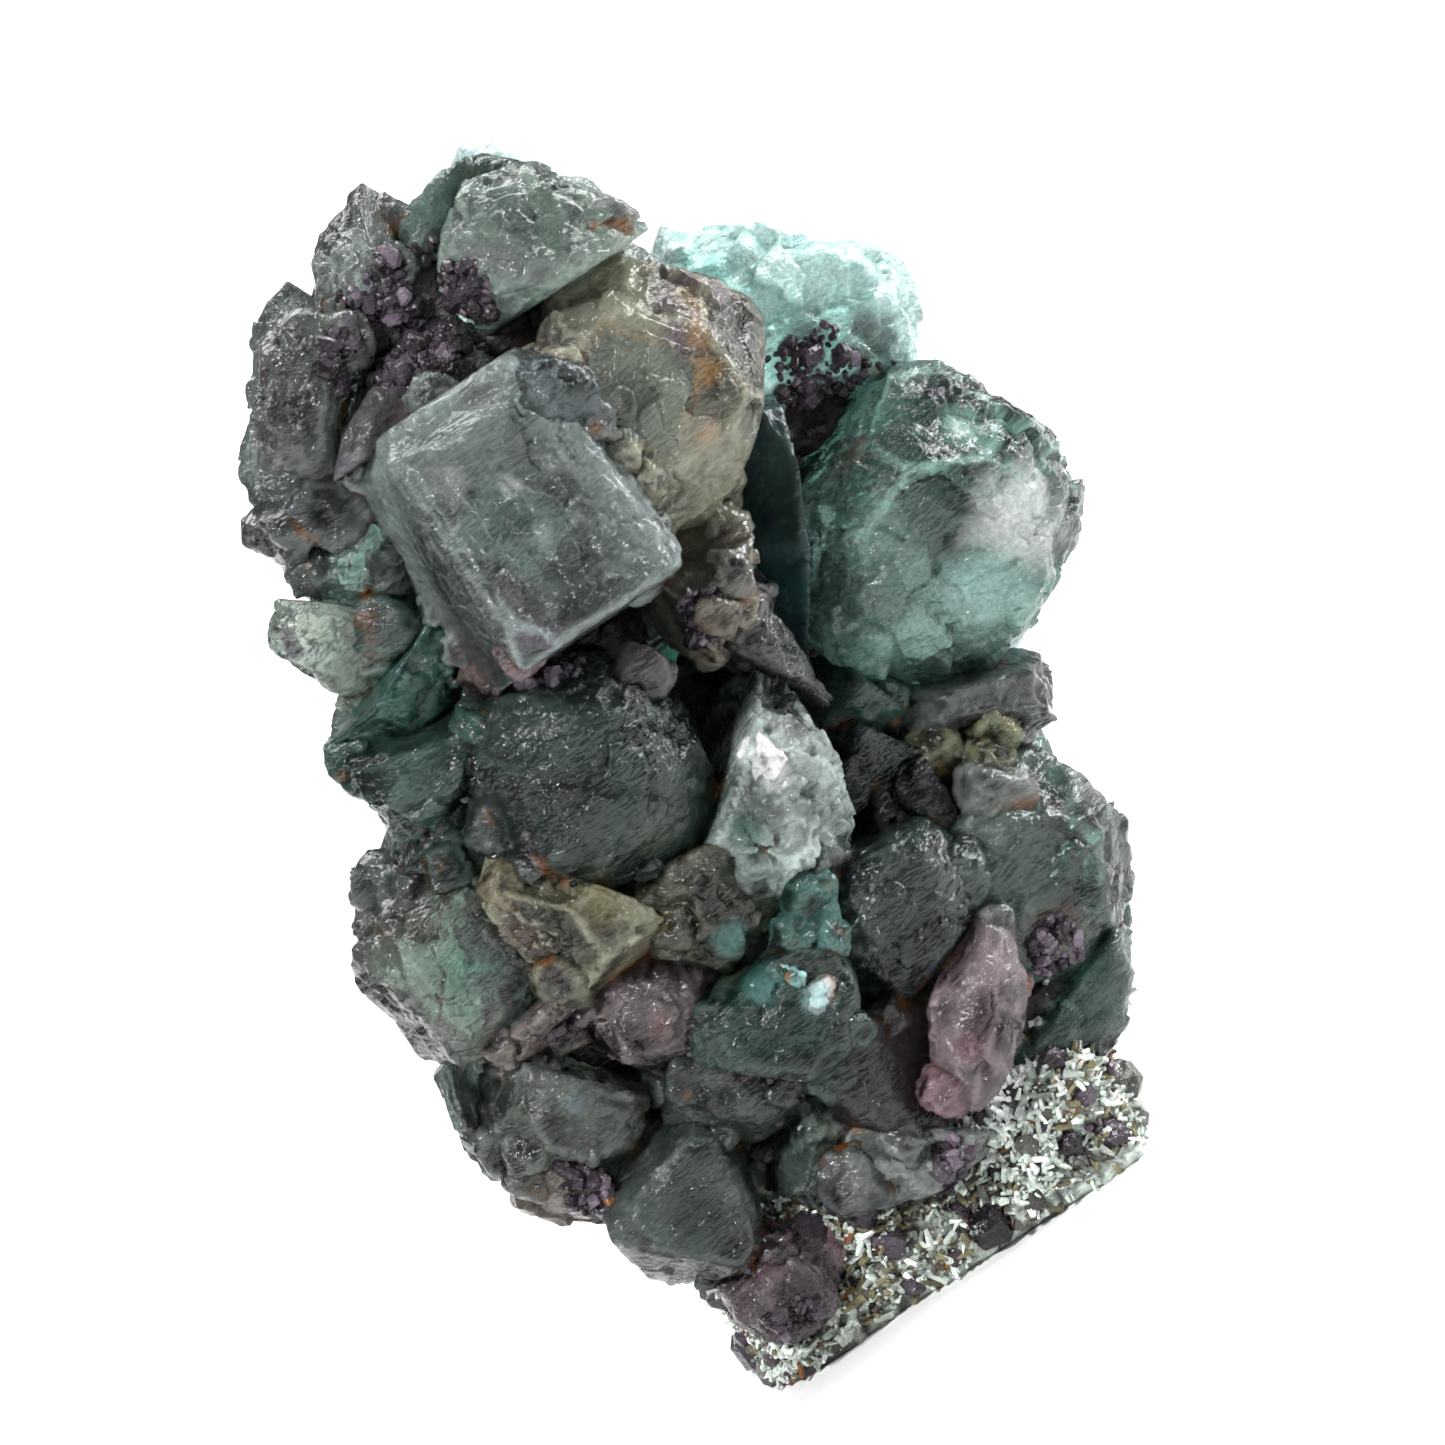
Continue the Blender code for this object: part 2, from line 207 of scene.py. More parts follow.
def move_points(mesh, points):
    """Moves the vertices of a mesh to points in millimetres."""
    mesh.vertices.foreach_set("co", (points * TO_METRES).astype(np.float32).ravel())
    mesh.update()


def read_solid(node):
    """The solid of one node of the frame, with each of its planes once."""
    mesh = frame["nodes"][node].data
    points, _ = read_points(mesh)
    facing = read_vectors(mesh.polygons, "normal")
    distance = np.einsum("ij,ij->i", facing, read_vectors(mesh.polygons, "center") / TO_METRES)
    area = np.empty(len(mesh.polygons), np.float32)
    mesh.polygons.foreach_get("area", area)
    kept = []
    for index in np.argsort(-area):
        if all(facing[index] @ facing[other] < SAME_WAY for other in kept):
            kept.append(index)
    middle = (points.max(0) + points.min(0)) / 2
    return Solid(facing[kept], distance[kept], middle, np.ptp(points, axis=0).max() / 2)


SOLIDS = {name: read_solid(name) for name in CRYSTAL_NODES}


def depth_outside(solid, points):
    """How far each point is outside a solid, at least; negative inside it."""
    heights = solid.normals.astype(np.float32) @ points.T.astype(np.float32)
    return (heights - solid.distances.astype(np.float32)[:, None]).max(0)


def touching_faces(node):
    """Which faces of a solid lie against another crystal, a gap away from a face that looks back."""
    solid = SOLIDS[node]
    touches = np.zeros(len(solid.distances), bool)
    for other, neighbour in SOLIDS.items():
        if other == node:
            continue
        opposed = solid.normals @ neighbour.normals.T < OPPOSED
        between = solid.distances[:, None] + neighbour.distances[None, :]
        touches |= (opposed & (np.abs(between + GAP) < 0.2 * GAP)).any(1)
    return touches


def room_around(middle, reach, points, skip=None):
    """How far each point of something of that size is from the nearest crystal; negative inside one."""
    nearest = np.full(len(points), FAR)
    for other, neighbour in SOLIDS.items():
        apart = np.linalg.norm(neighbour.middle - middle)
        if other != skip and apart < 1.5 * (reach + neighbour.reach) + 1:
            nearest = np.minimum(nearest, depth_outside(neighbour, points))
    return nearest


def on_front(node, across, up):
    """The point on the front of a solid that shows across and up of its middle."""
    solid = SOLIDS[node]
    start = solid.middle + across * ACROSS + up * UP
    facing = solid.normals @ AWAY
    front = facing < -1e-3
    depth = ((solid.distances - solid.normals @ start)[front] / facing[front]).max()
    return start + AWAY * depth


# ---------------------------------------------------------------------------------------------------------
# The surface of a crystal
# ---------------------------------------------------------------------------------------------------------


class Growth(NamedTuple):
    """How a crystal's surface grew, in millimetres.

    softness rounds its edges; step and step_gap are the height and spacing of its growth steps; block and
    block_size are those of its mosaic; etch is how deeply it is pitted; chips is the share of its edges
    that is broken; wave is how far its faces bulge; crackle tilts the blocks like broken glass.
    """

    softness: float = 0.13
    step: float = 0.10
    step_gap: float = 0.8
    block: float = 0.07
    block_size: float = 1.5
    etch: float = 0.03
    chips: float = 0.45
    wave: float = 0.10
    crackle: float = 0.20


DEFAULT_GROWTH = Growth()
GROWTHS = {
    "great_rhomb": Growth(softness=0.10, step=0.20, step_gap=0.9, block=0.05, block_size=1.9, crackle=0.14),
    "great_dome": Growth(softness=0.45, step=0.08, block=0.12, block_size=2.2, wave=0.2, crackle=0.10),
    "great_ball": Growth(softness=0.35, step=0.14, step_gap=1.3, block=0.2, block_size=2.6, wave=0.3),
    "lilac_bean": Growth(softness=0.35, step=0.04, block=0.05, wave=0.12, crackle=0.08),
    "kite": Growth(softness=0.16, step=0.06, block=0.04, chips=0.25, crackle=0.07),
    "silver_break": Growth(softness=0.1, step=0.05, block=0.18, block_size=0.9, crackle=0.5),
    "silver_tooth": Growth(softness=0.1, step=0.05, block=0.14, block_size=1.2, crackle=0.3),
    "waist_crust": Growth(softness=0.2, block=0.3, block_size=0.8, crackle=0.25),
    "dome_skirt": Growth(softness=0.15, block=0.2, block_size=1.1, crackle=0.35),
    "spine": Growth(softness=0.12, block=0.2, block_size=1.2, crackle=0.2),
    "mint_cap": Growth(softness=0.3, step=0.08, block=0.3, block_size=2.2, wave=0.4),
    "grey_dome": Growth(softness=0.4, step=0.05, block=0.06),
    "foot_dome": Growth(softness=0.35, step=0.05, block=0.06),
    "back_ball": Growth(softness=0.35),
    "amber_lower": Growth(softness=0.25, block=0.2, block_size=1.3, crackle=0.15),
    "amber_block": Growth(softness=0.2, step=0.08, block=0.2, block_size=1.8, crackle=0.12, wave=0.3),
}
GROW_INTO = 0.42  # how far a crystal reaches past a face that lies against its neighbour
STEP_WIDTH, LIP_WIDTH = 0.1, 0.13  # of a growth step and of its frosted lip
CRACK_WIDTH, CRACK_DEPTH = 0.16, 0.05  # between the blocks of the mosaic
CHIP_SPACING, CHIP_DEPTH = 1.4, 0.36  # along a broken edge
LOWEST = 0.05  # above the floor

# How finely the sphere of a crystal is divided: from each half size up, and for the smallest crystals.
DETAIL_SIZES = ((6.0, 7), (2.4, 6), (0.0, 5))
SMALL_DETAIL = 4
# The crystals at the back, and these, are divided one time less.
BACK = "back_"
LESS_SEEN = {"blue_slab", "mint_cap", "cave_west", "cave_east", "green_inner", "left_fold", "crown_rear"}
LESS_SEEN |= {"east_low", "flank_low", "black_facet", "left_blade", "foot_bar"}


class Surface(NamedTuple):
    """What is known at each point of a crystal's surface."""

    mesh: bpy.types.Mesh
    points: np.ndarray
    edge: np.ndarray  # distance to the nearest edge of the face
    face: np.ndarray  # number of the face
    crevice: np.ndarray  # distance to the nearest other crystal
    block: np.ndarray  # number, from 0 to 1, of the block of the mosaic
    zone: np.ndarray  # number, from 0 to 1, of the growth zone
    line: np.ndarray  # 1 on the lip of a growth step, down to 0 beside it


def tilted_blocks(number, away, turning, rising):
    """The height of blocks that each lean their own way, which turns and rises with the block's number."""
    tilt = np.stack([np.cos(number * turning), np.sin(number * turning), np.cos(number * rising)], 1)
    return np.einsum("ij,ij->i", tilt, away)


def relief_height(plain, edge, size, growth, seed):
    """The height of the relief at points of the plain solid, and each point's block, zone and step line."""
    height = growth.wave * smooth_noise(plain, 0.55 * size + 1.2, seed)
    wander = edge + 0.14 * smooth_noise(plain, 1.3, seed + 1)
    rng = random.Random(seed)
    mark = rng.uniform(0.3, 0.8) * growth.step_gap
    zone, line = np.full(len(plain), 0.8), np.zeros(len(plain))
    while mark < size:
        rise = growth.step * rng.uniform(0.4, 1.2) * rng.choice((1, 1, -1))
        height = height + rise * ramp(wander, mark, mark + STEP_WIDTH)
        zone = np.where(wander > mark, rng.random(), zone)
        line = np.maximum(line, 1 - np.abs(wander - mark - STEP_WIDTH / 2) / LIP_WIDTH)
        mark += growth.step_gap * rng.uniform(0.6, 1.4)
    bent = plain + 0.3 * np.stack([smooth_noise(plain, 1.3, seed + 5 + turn) for turn in range(3)], 1)
    first, second, number, away = cells(bent, growth.block_size, seed + 9)
    height = height + growth.block * (number - 0.5) * 2
    height = height + growth.crackle * tilted_blocks(number, away, 40, 91)
    _, _, splinter, splinter_away = cells(plain, 0.42 * growth.block_size, seed + 27)
    height = height + 0.5 * growth.crackle * tilted_blocks(splinter, splinter_away, 60, 77)
    height = height - CRACK_DEPTH * (1 - ramp(second - first, 0.0, CRACK_WIDTH))
    height = height + growth.etch * layered_noise(plain, 0.7, seed + 13, 3)
    near, _, which, _ = cells(plain, CHIP_SPACING, seed + 17)
    chip = (1 - ramp(edge, 0.1, 0.7)) * ramp(which, 1 - growth.chips, 1 - 0.6 * growth.chips)
    return height - CHIP_DEPTH * chip * (1 - ramp(near, 0.1, 0.8)), number, zone, line


def grow_surface(name, solid, growth, detail, touches=None, grow_out=0.0, skip=None):
    """Pushes the points of a sphere out to the faces of a solid, with their relief.

    The faces that touch a neighbour reach into it; the others grow out a little. The node to skip is the
    crystal's own, which doesn't count as a neighbour.
    """
    ball = bmesh.new()
    bmesh.ops.create_icosphere(ball, subdivisions=detail, radius=1)
    mesh = bpy.data.meshes.new(name)
    ball.to_mesh(mesh)
    ball.free()
    ways = read_vectors(mesh.vertices, "co")
    facing = np.maximum(ways @ solid.normals.T, 1e-4)
    room = solid.distances - solid.normals @ solid.middle
    reach = room / facing
    face = reach.argmin(1)
    plain = solid.middle + ways * reach.min(1)[:, None]
    slack = solid.distances - plain @ solid.normals.T
    slack[np.arange(len(plain)), face] = FAR
    edge = slack.min(1)
    height, block, zone, line = relief_height(plain, edge, solid.reach, growth, seed_of(name))
    lift = grow_out + height[:, None]
    if touches is not None:
        lift = np.where(touches[None, :], GROW_INTO, lift)
    reach = (room + lift) / facing
    shortest = reach.min(1)
    crowding = np.exp(-(reach - shortest[:, None]) / growth.softness).sum(1)
    points = solid.middle + ways * (shortest - growth.softness * np.log(crowding))[:, None]
    points[:, 2] = np.maximum(points[:, 2], LOWEST)
    move_points(mesh, points)
    crevice = room_around(solid.middle, solid.reach, points, skip)
    return Surface(mesh, points, edge, face, crevice, block, zone, line)


# ---------------------------------------------------------------------------------------------------------
# Colour, painted point by point
# ---------------------------------------------------------------------------------------------------------

# The colour that each crystal shows on the whole. A crystal that is not named has its kind's colour.
KIND_TONES = {
    "green_fluorite": (0.045, 0.085, 0.072),
    "grey_fluorite": (0.09, 0.105, 0.10),
    "amber_fluorite": (0.12, 0.115, 0.085),
    "mint_fluorite": (0.22, 0.38, 0.34),
    "lilac_fluorite": (0.17, 0.12, 0.135),
}
TONES = {
    "great_rhomb": (0.25, 0.295, 0.285),
    "amber_block": (0.20, 0.20, 0.155),
    "amber_lower": (0.22, 0.205, 0.165),
    "crown_plate": (0.26, 0.32, 0.285),
    "crown_green": (0.17, 0.23, 0.21),
    "crown_rear": (0.40, 0.60, 0.55),
    "crown_left": (0.11, 0.12, 0.115),
    "left_cheek": (0.11, 0.12, 0.11),
    "left_shoulder": (0.085, 0.10, 0.092),
    "left_blade": (0.075, 0.07, 0.078),
    "left_fold": (0.07, 0.08, 0.075),
    "ledge_top": (0.10, 0.125, 0.115),
    "ledge_pale": (0.17, 0.20, 0.175),
    "ledge_teal": (0.055, 0.11, 0.095),
    "flank_upper": (0.030, 0.060, 0.052),
    "flank_mid": (0.035, 0.055, 0.048),
    "flank_low": (0.06, 0.072, 0.066),
    "great_dome": (0.020, 0.034, 0.029),
    "silver_break": (0.20, 0.235, 0.22),
    "silver_tooth": (0.09, 0.095, 0.07),
    "dome_skirt": (0.085, 0.085, 0.06),
    "spine": (0.07, 0.072, 0.072),
    "west_corner": (0.075, 0.078, 0.068),
    "waist_crust": (0.075, 0.066, 0.058),
    "waist_rose": (0.085, 0.07, 0.072),
    "teal_window": (0.10, 0.20, 0.18),
    "teal_block": (0.036, 0.060, 0.048),
    "grey_dome": (0.022, 0.032, 0.031),
    "black_facet": (0.018, 0.016, 0.015),
    "fractured_grey": (0.10, 0.11, 0.105),
    "pale_green": (0.10, 0.13, 0.11),
    "lilac_bean": (0.175, 0.145, 0.155),
    "foot_dome": (0.035, 0.045, 0.038),
    "foot_window": (0.07, 0.08, 0.07),
    "foot_west": (0.06, 0.078, 0.068),
    "foot_bar": (0.065, 0.056, 0.045),
    "kite": (0.045, 0.056, 0.052),
    "toe_violet": (0.075, 0.06, 0.068),
    "mint_cap": (0.34, 0.48, 0.455),
    "great_ball": (0.11, 0.165, 0.15),
    "blue_slab": (0.022, 0.050, 0.052),
    "green_inner": (0.018, 0.042, 0.035),
    "under_ball": (0.08, 0.09, 0.085),
    "east_bead": (0.09, 0.10, 0.06),
    "cave_west": (0.003, 0.008, 0.007),
    "cave_east": (0.004, 0.009, 0.008),
    "east_block": (0.14, 0.18, 0.165),
    "east_low": (0.042, 0.075, 0.063),
}

TEAL_LIGHT = (0.20, 0.42, 0.38)
WHITE_LIGHT = (0.75, 0.92, 0.88)
SILVER = (0.62, 0.68, 0.66)
BLACK = (0.010, 0.012, 0.012)
VIOLET = (0.060, 0.040, 0.062)
ROSE = (0.34, 0.18, 0.19)
OLIVE = (0.17, 0.15, 0.06)
STAIN = (0.34, 0.14, 0.05)


class Spot(NamedTuple):
    """A coloured spot on the front of a crystal: across and up of the crystal's middle, and its radius."""

    node: str
    across: float
    up: float
    radius: float
    colour: tuple
    strength: float = 0.8


SPOTS = (
    Spot("great_rhomb", -2.6, 1.6, 1.2, (0.66, 0.70, 0.68), 0.7),
    Spot("great_rhomb", 1.8, -0.8, 0.8, (0.66, 0.76, 0.72), 0.6),
    Spot("great_rhomb", -2.9, -1.6, 1.0, (0.56, 0.62, 0.60), 0.6),
    Spot("great_rhomb", 0.2, 1.6, 0.7, (0.80, 0.88, 0.85), 0.7),
    Spot("great_rhomb", 2.6, 1.2, 1.3, (0.045, 0.055, 0.055), 0.75),
    Spot("great_rhomb", -0.6, -2.6, 1.2, (0.045, 0.055, 0.055), 0.7),
    Spot("great_rhomb", 3.4, -2.4, 2.0, (0.07, 0.085, 0.085), 0.6),
    Spot("great_rhomb", 1.0, 3.6, 1.8, (0.10, 0.12, 0.12), 0.6),
    Spot("great_rhomb", -4.6, -4.6, 3.0, (0.09, 0.065, 0.06), 0.75),
    Spot("great_rhomb", -1.5, -6.2, 2.8, (0.075, 0.05, 0.055), 0.75),
    Spot("great_rhomb", -5.7, -2.4, 0.55, SILVER, 0.8),
    Spot("great_rhomb", -4.9, -4.0, 0.6, STAIN, 0.8),
    Spot("great_rhomb", -1.6, 6.0, 1.0, (0.11, 0.095, 0.085), 0.6),
    Spot("amber_block", 2.2, 2.4, 1.0, (0.46, 0.32, 0.18), 0.7),
    Spot("amber_block", 2.6, 0.6, 0.9, (0.42, 0.26, 0.12), 0.7),
    Spot("amber_block", 1.8, 4.0, 1.2, (0.40, 0.30, 0.18), 0.6),
    Spot("amber_block", 2.6, -2.4, 0.7, (0.62, 0.46, 0.34), 0.8),
    Spot("amber_block", -2.0, -2.6, 2.2, (0.10, 0.13, 0.125), 0.6),
    Spot("amber_lower", 1.6, 1.6, 1.4, (0.34, 0.33, 0.26), 0.6),
    Spot("crown_plate", 0.0, -1.6, 2.0, (0.12, 0.11, 0.11), 0.5),
    Spot("crown_rear", 0.0, 3.0, 2.2, WHITE_LIGHT, 0.7),
    Spot("great_dome", -0.8, -1.6, 2.6, BLACK, 0.8),
    Spot("great_dome", -3.6, 2.6, 2.0, (0.10, 0.13, 0.115), 0.6),
    Spot("great_dome", 3.6, -3.0, 1.8, (0.10, 0.12, 0.085), 0.5),
    Spot("silver_break", 0.6, 2.6, 1.1, (0.95, 1.0, 0.98), 0.9),
    Spot("silver_break", 2.0, 1.4, 0.9, (0.9, 0.95, 0.93), 0.85),
    Spot("silver_break", -1.4, 1.0, 1.6, (0.05, 0.09, 0.08), 0.85),
    Spot("silver_break", 0.4, -1.4, 1.5, (0.06, 0.11, 0.095), 0.85),
    Spot("silver_break", 2.6, -1.4, 0.9, (0.46, 0.52, 0.50), 0.7),
    Spot("silver_break", -1.4, -3.0, 1.0, (0.30, 0.33, 0.31), 0.6),
    Spot("silver_tooth", -2.2, 0.0, 1.4, OLIVE, 0.5),
    Spot("dome_skirt", 1.2, 0.8, 1.8, OLIVE, 0.4),
    Spot("dome_skirt", -2.4, -1.0, 1.6, (0.08, 0.055, 0.05), 0.6),
    Spot("west_corner", 0.8, 0.2, 1.2, (0.14, 0.22, 0.19), 0.4),
    Spot("west_corner", -2.8, -0.2, 1.0, (0.34, 0.38, 0.35), 0.6),
    Spot("silver_tooth", 1.4, -1.2, 1.2, (0.30, 0.66, 0.62), 0.8),
    Spot("teal_block", -0.6, 2.0, 1.3, (0.26, 0.58, 0.54), 0.75),
    Spot("teal_block", 2.2, 1.2, 1.0, (0.66, 0.90, 0.92), 0.85),
    Spot("teal_window", -0.4, 0.4, 1.5, TEAL_LIGHT, 0.7),
    Spot("teal_window", 0.6, -1.0, 0.8, (0.42, 0.72, 0.70), 0.8),
    Spot("waist_rose", 0.6, -0.4, 0.9, ROSE, 0.5),
    Spot("foot_window", 0.6, 0.2, 0.7, (0.34, 0.42, 0.44), 0.7),
    Spot("kite", 0.4, -0.4, 1.8, (0.016, 0.020, 0.018), 0.75),
    Spot("kite", 2.6, 0.6, 1.0, (0.18, 0.21, 0.19), 0.6),
    Spot("lilac_bean", 0.4, 2.6, 1.3, (0.50, 0.42, 0.42), 0.6),
    Spot("lilac_bean", -0.5, -1.6, 1.2, (0.26, 0.12, 0.15), 0.5),
    Spot("lilac_bean", 0.2, 0.4, 1.2, (0.07, 0.045, 0.06), 0.6),
    Spot("grey_dome", 0.2, 0.2, 1.6, (0.03, 0.05, 0.045), 0.6),
    Spot("great_ball", 5.2, 0.5, 2.8, (0.95, 1.0, 0.98), 0.9),
    Spot("great_ball", 2.4, 4.6, 1.6, (0.50, 0.72, 0.66), 0.6),
    Spot("great_ball", 3.6, -3.2, 2.6, (0.55, 0.82, 0.76), 0.65),
    Spot("great_ball", -3.4, 3.6, 1.7, (0.24, 0.12, 0.08), 0.6),
    Spot("great_ball", -2.4, -3.0, 2.8, (0.07, 0.10, 0.095), 0.7),
    Spot("great_ball", 0.2, 1.0, 2.2, (0.10, 0.14, 0.13), 0.5),
    Spot("mint_cap", 0.6, 3.4, 3.0, WHITE_LIGHT, 0.85),
    Spot("mint_cap", -3.8, 2.6, 2.4, (0.42, 0.78, 0.72), 0.75),
    Spot("mint_cap", 1.6, -0.8, 2.6, (0.045, 0.042, 0.045), 0.9),
    Spot("mint_cap", 4.8, -0.4, 2.2, (0.05, 0.048, 0.05), 0.85),
    Spot("east_block", -2.4, -0.8, 2.0, (0.04, 0.10, 0.08), 0.6),
    Spot("east_block", 1.6, -2.8, 1.8, (0.20, 0.10, 0.06), 0.6),
    Spot("east_block", 0.0, 3.0, 1.4, (0.26, 0.28, 0.26), 0.5),
    Spot("ledge_teal", 0.2, 0.6, 1.4, TEAL_LIGHT, 0.5),
    Spot("ledge_pale", -1.8, 0.6, 1.0, (0.52, 0.52, 0.44), 0.6),
    Spot("ledge_top", 1.0, -1.4, 0.6, STAIN, 0.8),
    Spot("flank_upper", -1.4, 2.2, 0.6, STAIN, 0.7),
    Spot("blue_slab", 0.2, -1.4, 1.5, (0.03, 0.10, 0.10), 0.6),
    Spot("toe_violet", -0.4, 0.6, 1.0, (0.30, 0.22, 0.24), 0.6),
)


class Pane(NamedTuple):
    """A square pane that shows inside a crystal: the face of an earlier stage of its growth.

    It lies across and up of the crystal's middle, is half that wide and stretched one way, and is turned
    by so many degrees. It has a colour, a darker heart and a pale line round it.
    """

    node: str
    across: float
    up: float
    half: float
    stretch: float
    turn: float
    colour: tuple
    heart: tuple
    line: tuple
    strength: float = 0.8


PANES = (
    Pane(
        "great_rhomb", 0.0, 0.2, 4.6, 1.05, -56,
        (0.15, 0.18, 0.17), (0.12, 0.16, 0.15), (0.30, 0.33, 0.32), 0.5,
    ),
    Pane(
        "great_rhomb", 0.3, -0.5, 2.0, 1.15, -27,
        (0.24, 0.33, 0.31), (0.05, 0.075, 0.07), (0.75, 0.85, 0.80), 0.8,
    ),
    Pane(
        "amber_block", -0.8, -0.4, 2.4, 1.1, -22,
        (0.16, 0.20, 0.17), (0.07, 0.10, 0.08), (0.45, 0.33, 0.19), 0.7,
    ),
    Pane(
        "crown_plate", -0.4, 0.4, 1.9, 1.3, -14,
        (0.30, 0.40, 0.34), (0.13, 0.15, 0.15), (0.50, 0.56, 0.50), 0.7,
    ),
    Pane(
        "kite", 0.2, -0.3, 2.3, 0.9, 45,
        (0.06, 0.08, 0.075), (0.015, 0.02, 0.018), (0.20, 0.24, 0.22), 0.8,
    ),
    Pane(
        "west_corner", 0.4, 0.0, 1.7, 1.1, 40,
        (0.10, 0.125, 0.11), (0.04, 0.055, 0.045), (0.42, 0.46, 0.43), 0.7,
    ),
    Pane(
        "east_block", -0.4, 0.4, 2.4, 1.1, 38,
        (0.16, 0.22, 0.20), (0.11, 0.15, 0.14), (0.34, 0.38, 0.35), 0.6,
    ),
    Pane(
        "great_dome", -0.2, -0.6, 2.6, 1.1, 20,
        (0.03, 0.055, 0.045), (0.008, 0.012, 0.012), (0.09, 0.13, 0.11), 0.7,
    ),
    Pane(
        "teal_block", 0.2, 0.2, 1.9, 1.3, 8,
        (0.03, 0.08, 0.06), (0.012, 0.02, 0.016), (0.16, 0.26, 0.22), 0.7,
    ),
)


def blended(first, second, share):
    """A row of colours mixed with one colour, each by its own share."""
    return first + (np.asarray(second) - first) * share[:, None]


def frosted(tone):
    """The paler colour that a tone has where the surface is frosted."""
    return np.minimum(np.asarray(tone) * 2.0 + 0.03, 1)


def bulge_of(surface, cloud):
    """How far each point stands out towards its crystal's open side, from -1 to 1, stirred by a cloud."""
    ways = surface.points - surface.points.mean(0)
    ways /= np.linalg.norm(ways, axis=1)[:, None] + 1e-9
    free = surface.crevice > 0.8
    open_to = ways[free].sum(0) if free.any() else -AWAY
    return ways @ (open_to / (np.linalg.norm(open_to) + 1e-9)) + 0.25 * cloud


def paint_surface(surface, tone, openness, seed, size, settings):
    """The tint of every point of a crystal: dark clear hearts, frosted rims and steps, violet zones.

    The tint is raised to the power openness, which keeps a clear crystal from swallowing all light twice.
    """
    points = surface.points
    tone = np.asarray(tone, float)
    cloud = layered_noise(points, 0.45 * size + 0.9, seed, 3)
    tint = np.tile(tone, (len(points), 1)) * np.exp(1.5 * cloud)[:, None]
    bulge = bulge_of(surface, cloud)
    tint = tint * (1 - 0.86 * ramp(bulge, 0.36, 0.82))[:, None]
    violet = np.asarray(VIOLET) * (0.25 + 0.4 * tone.sum() / sum(VIOLET))
    tint = blended(tint, violet, 0.45 * ramp(layered_noise(points, 3.4, 301, 3), 0.10, 0.45))

    # Each face, block and growth zone is a little lighter or darker than the next.
    facet = stirred(surface.face.astype(np.uint32) * STRIDES[0], seed)
    tint = tint * (0.72 + 0.56 * facet)[:, None]
    tint = tint * (0.62 + 0.76 * surface.block)[:, None]
    tint = tint * (0.72 + 0.56 * surface.zone)[:, None]

    # Frost lies in clouds, along growth steps and healed cracks, on the rims and as specks.
    pale = frosted(tone)
    frost = ramp(layered_noise(points, 2.0, seed + 40, 4), 0.12, 0.5)
    tint = blended(tint, pale * 1.1, 0.35 * frost)
    tint = blended(tint, pale, 0.45 * np.clip(surface.line, 0, 1) * (0.2 + 0.8 * frost))
    near, far, _, _ = cells(points, 1.7, seed + 44)
    vein = (1 - ramp(far - near, 0.0, 0.07)) * ramp(smooth_noise(points, 2.4, seed + 45), 0.0, 0.4)
    tint = blended(tint, pale * 1.6 + 0.05, 0.7 * vein)
    rim = 1 - ramp(surface.edge + 0.12 * smooth_noise(points, 0.9, seed + 4), 0.0, 0.26)
    tint = blended(tint, pale * 1.5, settings.rim * rim)
    halo = ramp(bulge, -0.2, 0.25) * (1 - ramp(bulge, 0.35, 0.72))
    tint = blended(tint, pale * 1.1, 0.55 * halo)
    speck = ramp(layered_noise(points, 0.5, seed + 60, 3), 0.38, 0.55)
    tint = blended(tint, pale * 2.6 + 0.06, 0.75 * speck * (0.25 + 0.75 * frost))

    for pane in PANES:
        tint = paint_pane(pane, points, tint)
    for spot in SPOTS:
        tint = paint_spot(spot, points, size, tint)

    # The crevices are dark, and rusty in places.
    tint = tint * (1 - 0.88 * (1 - ramp(surface.crevice, 0.02, 0.55)))[:, None]
    rust = (1 - ramp(surface.crevice, 0.1, 0.8)) * ramp(layered_noise(points, 1.5, 77, 3), 0.18, 0.36)
    tint = blended(tint, settings.stain_colour, 0.7 * rust)
    grey = tint.mean(1)[:, None]
    tint = np.clip((grey + settings.richness * (tint - grey)) * settings.haze, DARKEST, 1)
    return np.clip(tint * tint.max(1)[:, None] ** (openness - 1), DARKEST, 1)


def paint_pane(pane, points, tint):
    """Paints one square pane, the face of a crystal inside the crystal, on the front near its place."""
    way = points - on_front(pane.node, pane.across, pane.up)
    turn = math.radians(pane.turn)
    across, up = way @ ACROSS, way @ UP
    first = math.cos(turn) * across + math.sin(turn) * up
    second = math.cos(turn) * up - math.sin(turn) * across
    outside = np.maximum(np.abs(first) / pane.stretch, np.abs(second)) - pane.half
    outside = outside + 0.2 * pane.half * layered_noise(points, 0.5 * pane.half, 95, 3)
    front = (1 - ramp(np.abs(way @ AWAY), 1.5, 2.6)) * (1 - ramp(outside, 0.3, 1.0))
    inside = 1 - ramp(outside, -0.12, 0.04)
    inside = inside * ramp(-outside, -0.1, 0.2 * pane.half) * 0.5 + 0.4 * inside
    tint = blended(tint, pane.colour, pane.strength * inside * front)
    heart = ramp(-outside, 0.35 * pane.half, 0.9 * pane.half)
    tint = blended(tint, pane.heart, pane.strength * heart * front)
    line = 1 - ramp(np.abs(outside), 0.0, 0.13)
    return blended(tint, pane.line, 0.8 * line * front * ramp(smooth_noise(points, 1.8, 96), -0.6, 0.2))


def paint_spot(spot, points, size, tint):
    """Paints one cloudy spot, unless it is out of the reach of a crystal of that size."""
    place = on_front(spot.node, spot.across, spot.up)
    if np.linalg.norm(place - points.mean(0)) > 2.2 * size + 2 * spot.radius:
        return tint
    distance = np.linalg.norm(points - place, axis=1)
    distance = distance + 0.5 * spot.radius * layered_noise(points, 0.7 * spot.radius + 0.2, 91, 3)
    return blended(tint, spot.colour, spot.strength * (1 - ramp(distance, 0.4, 1.15 * spot.radius)))


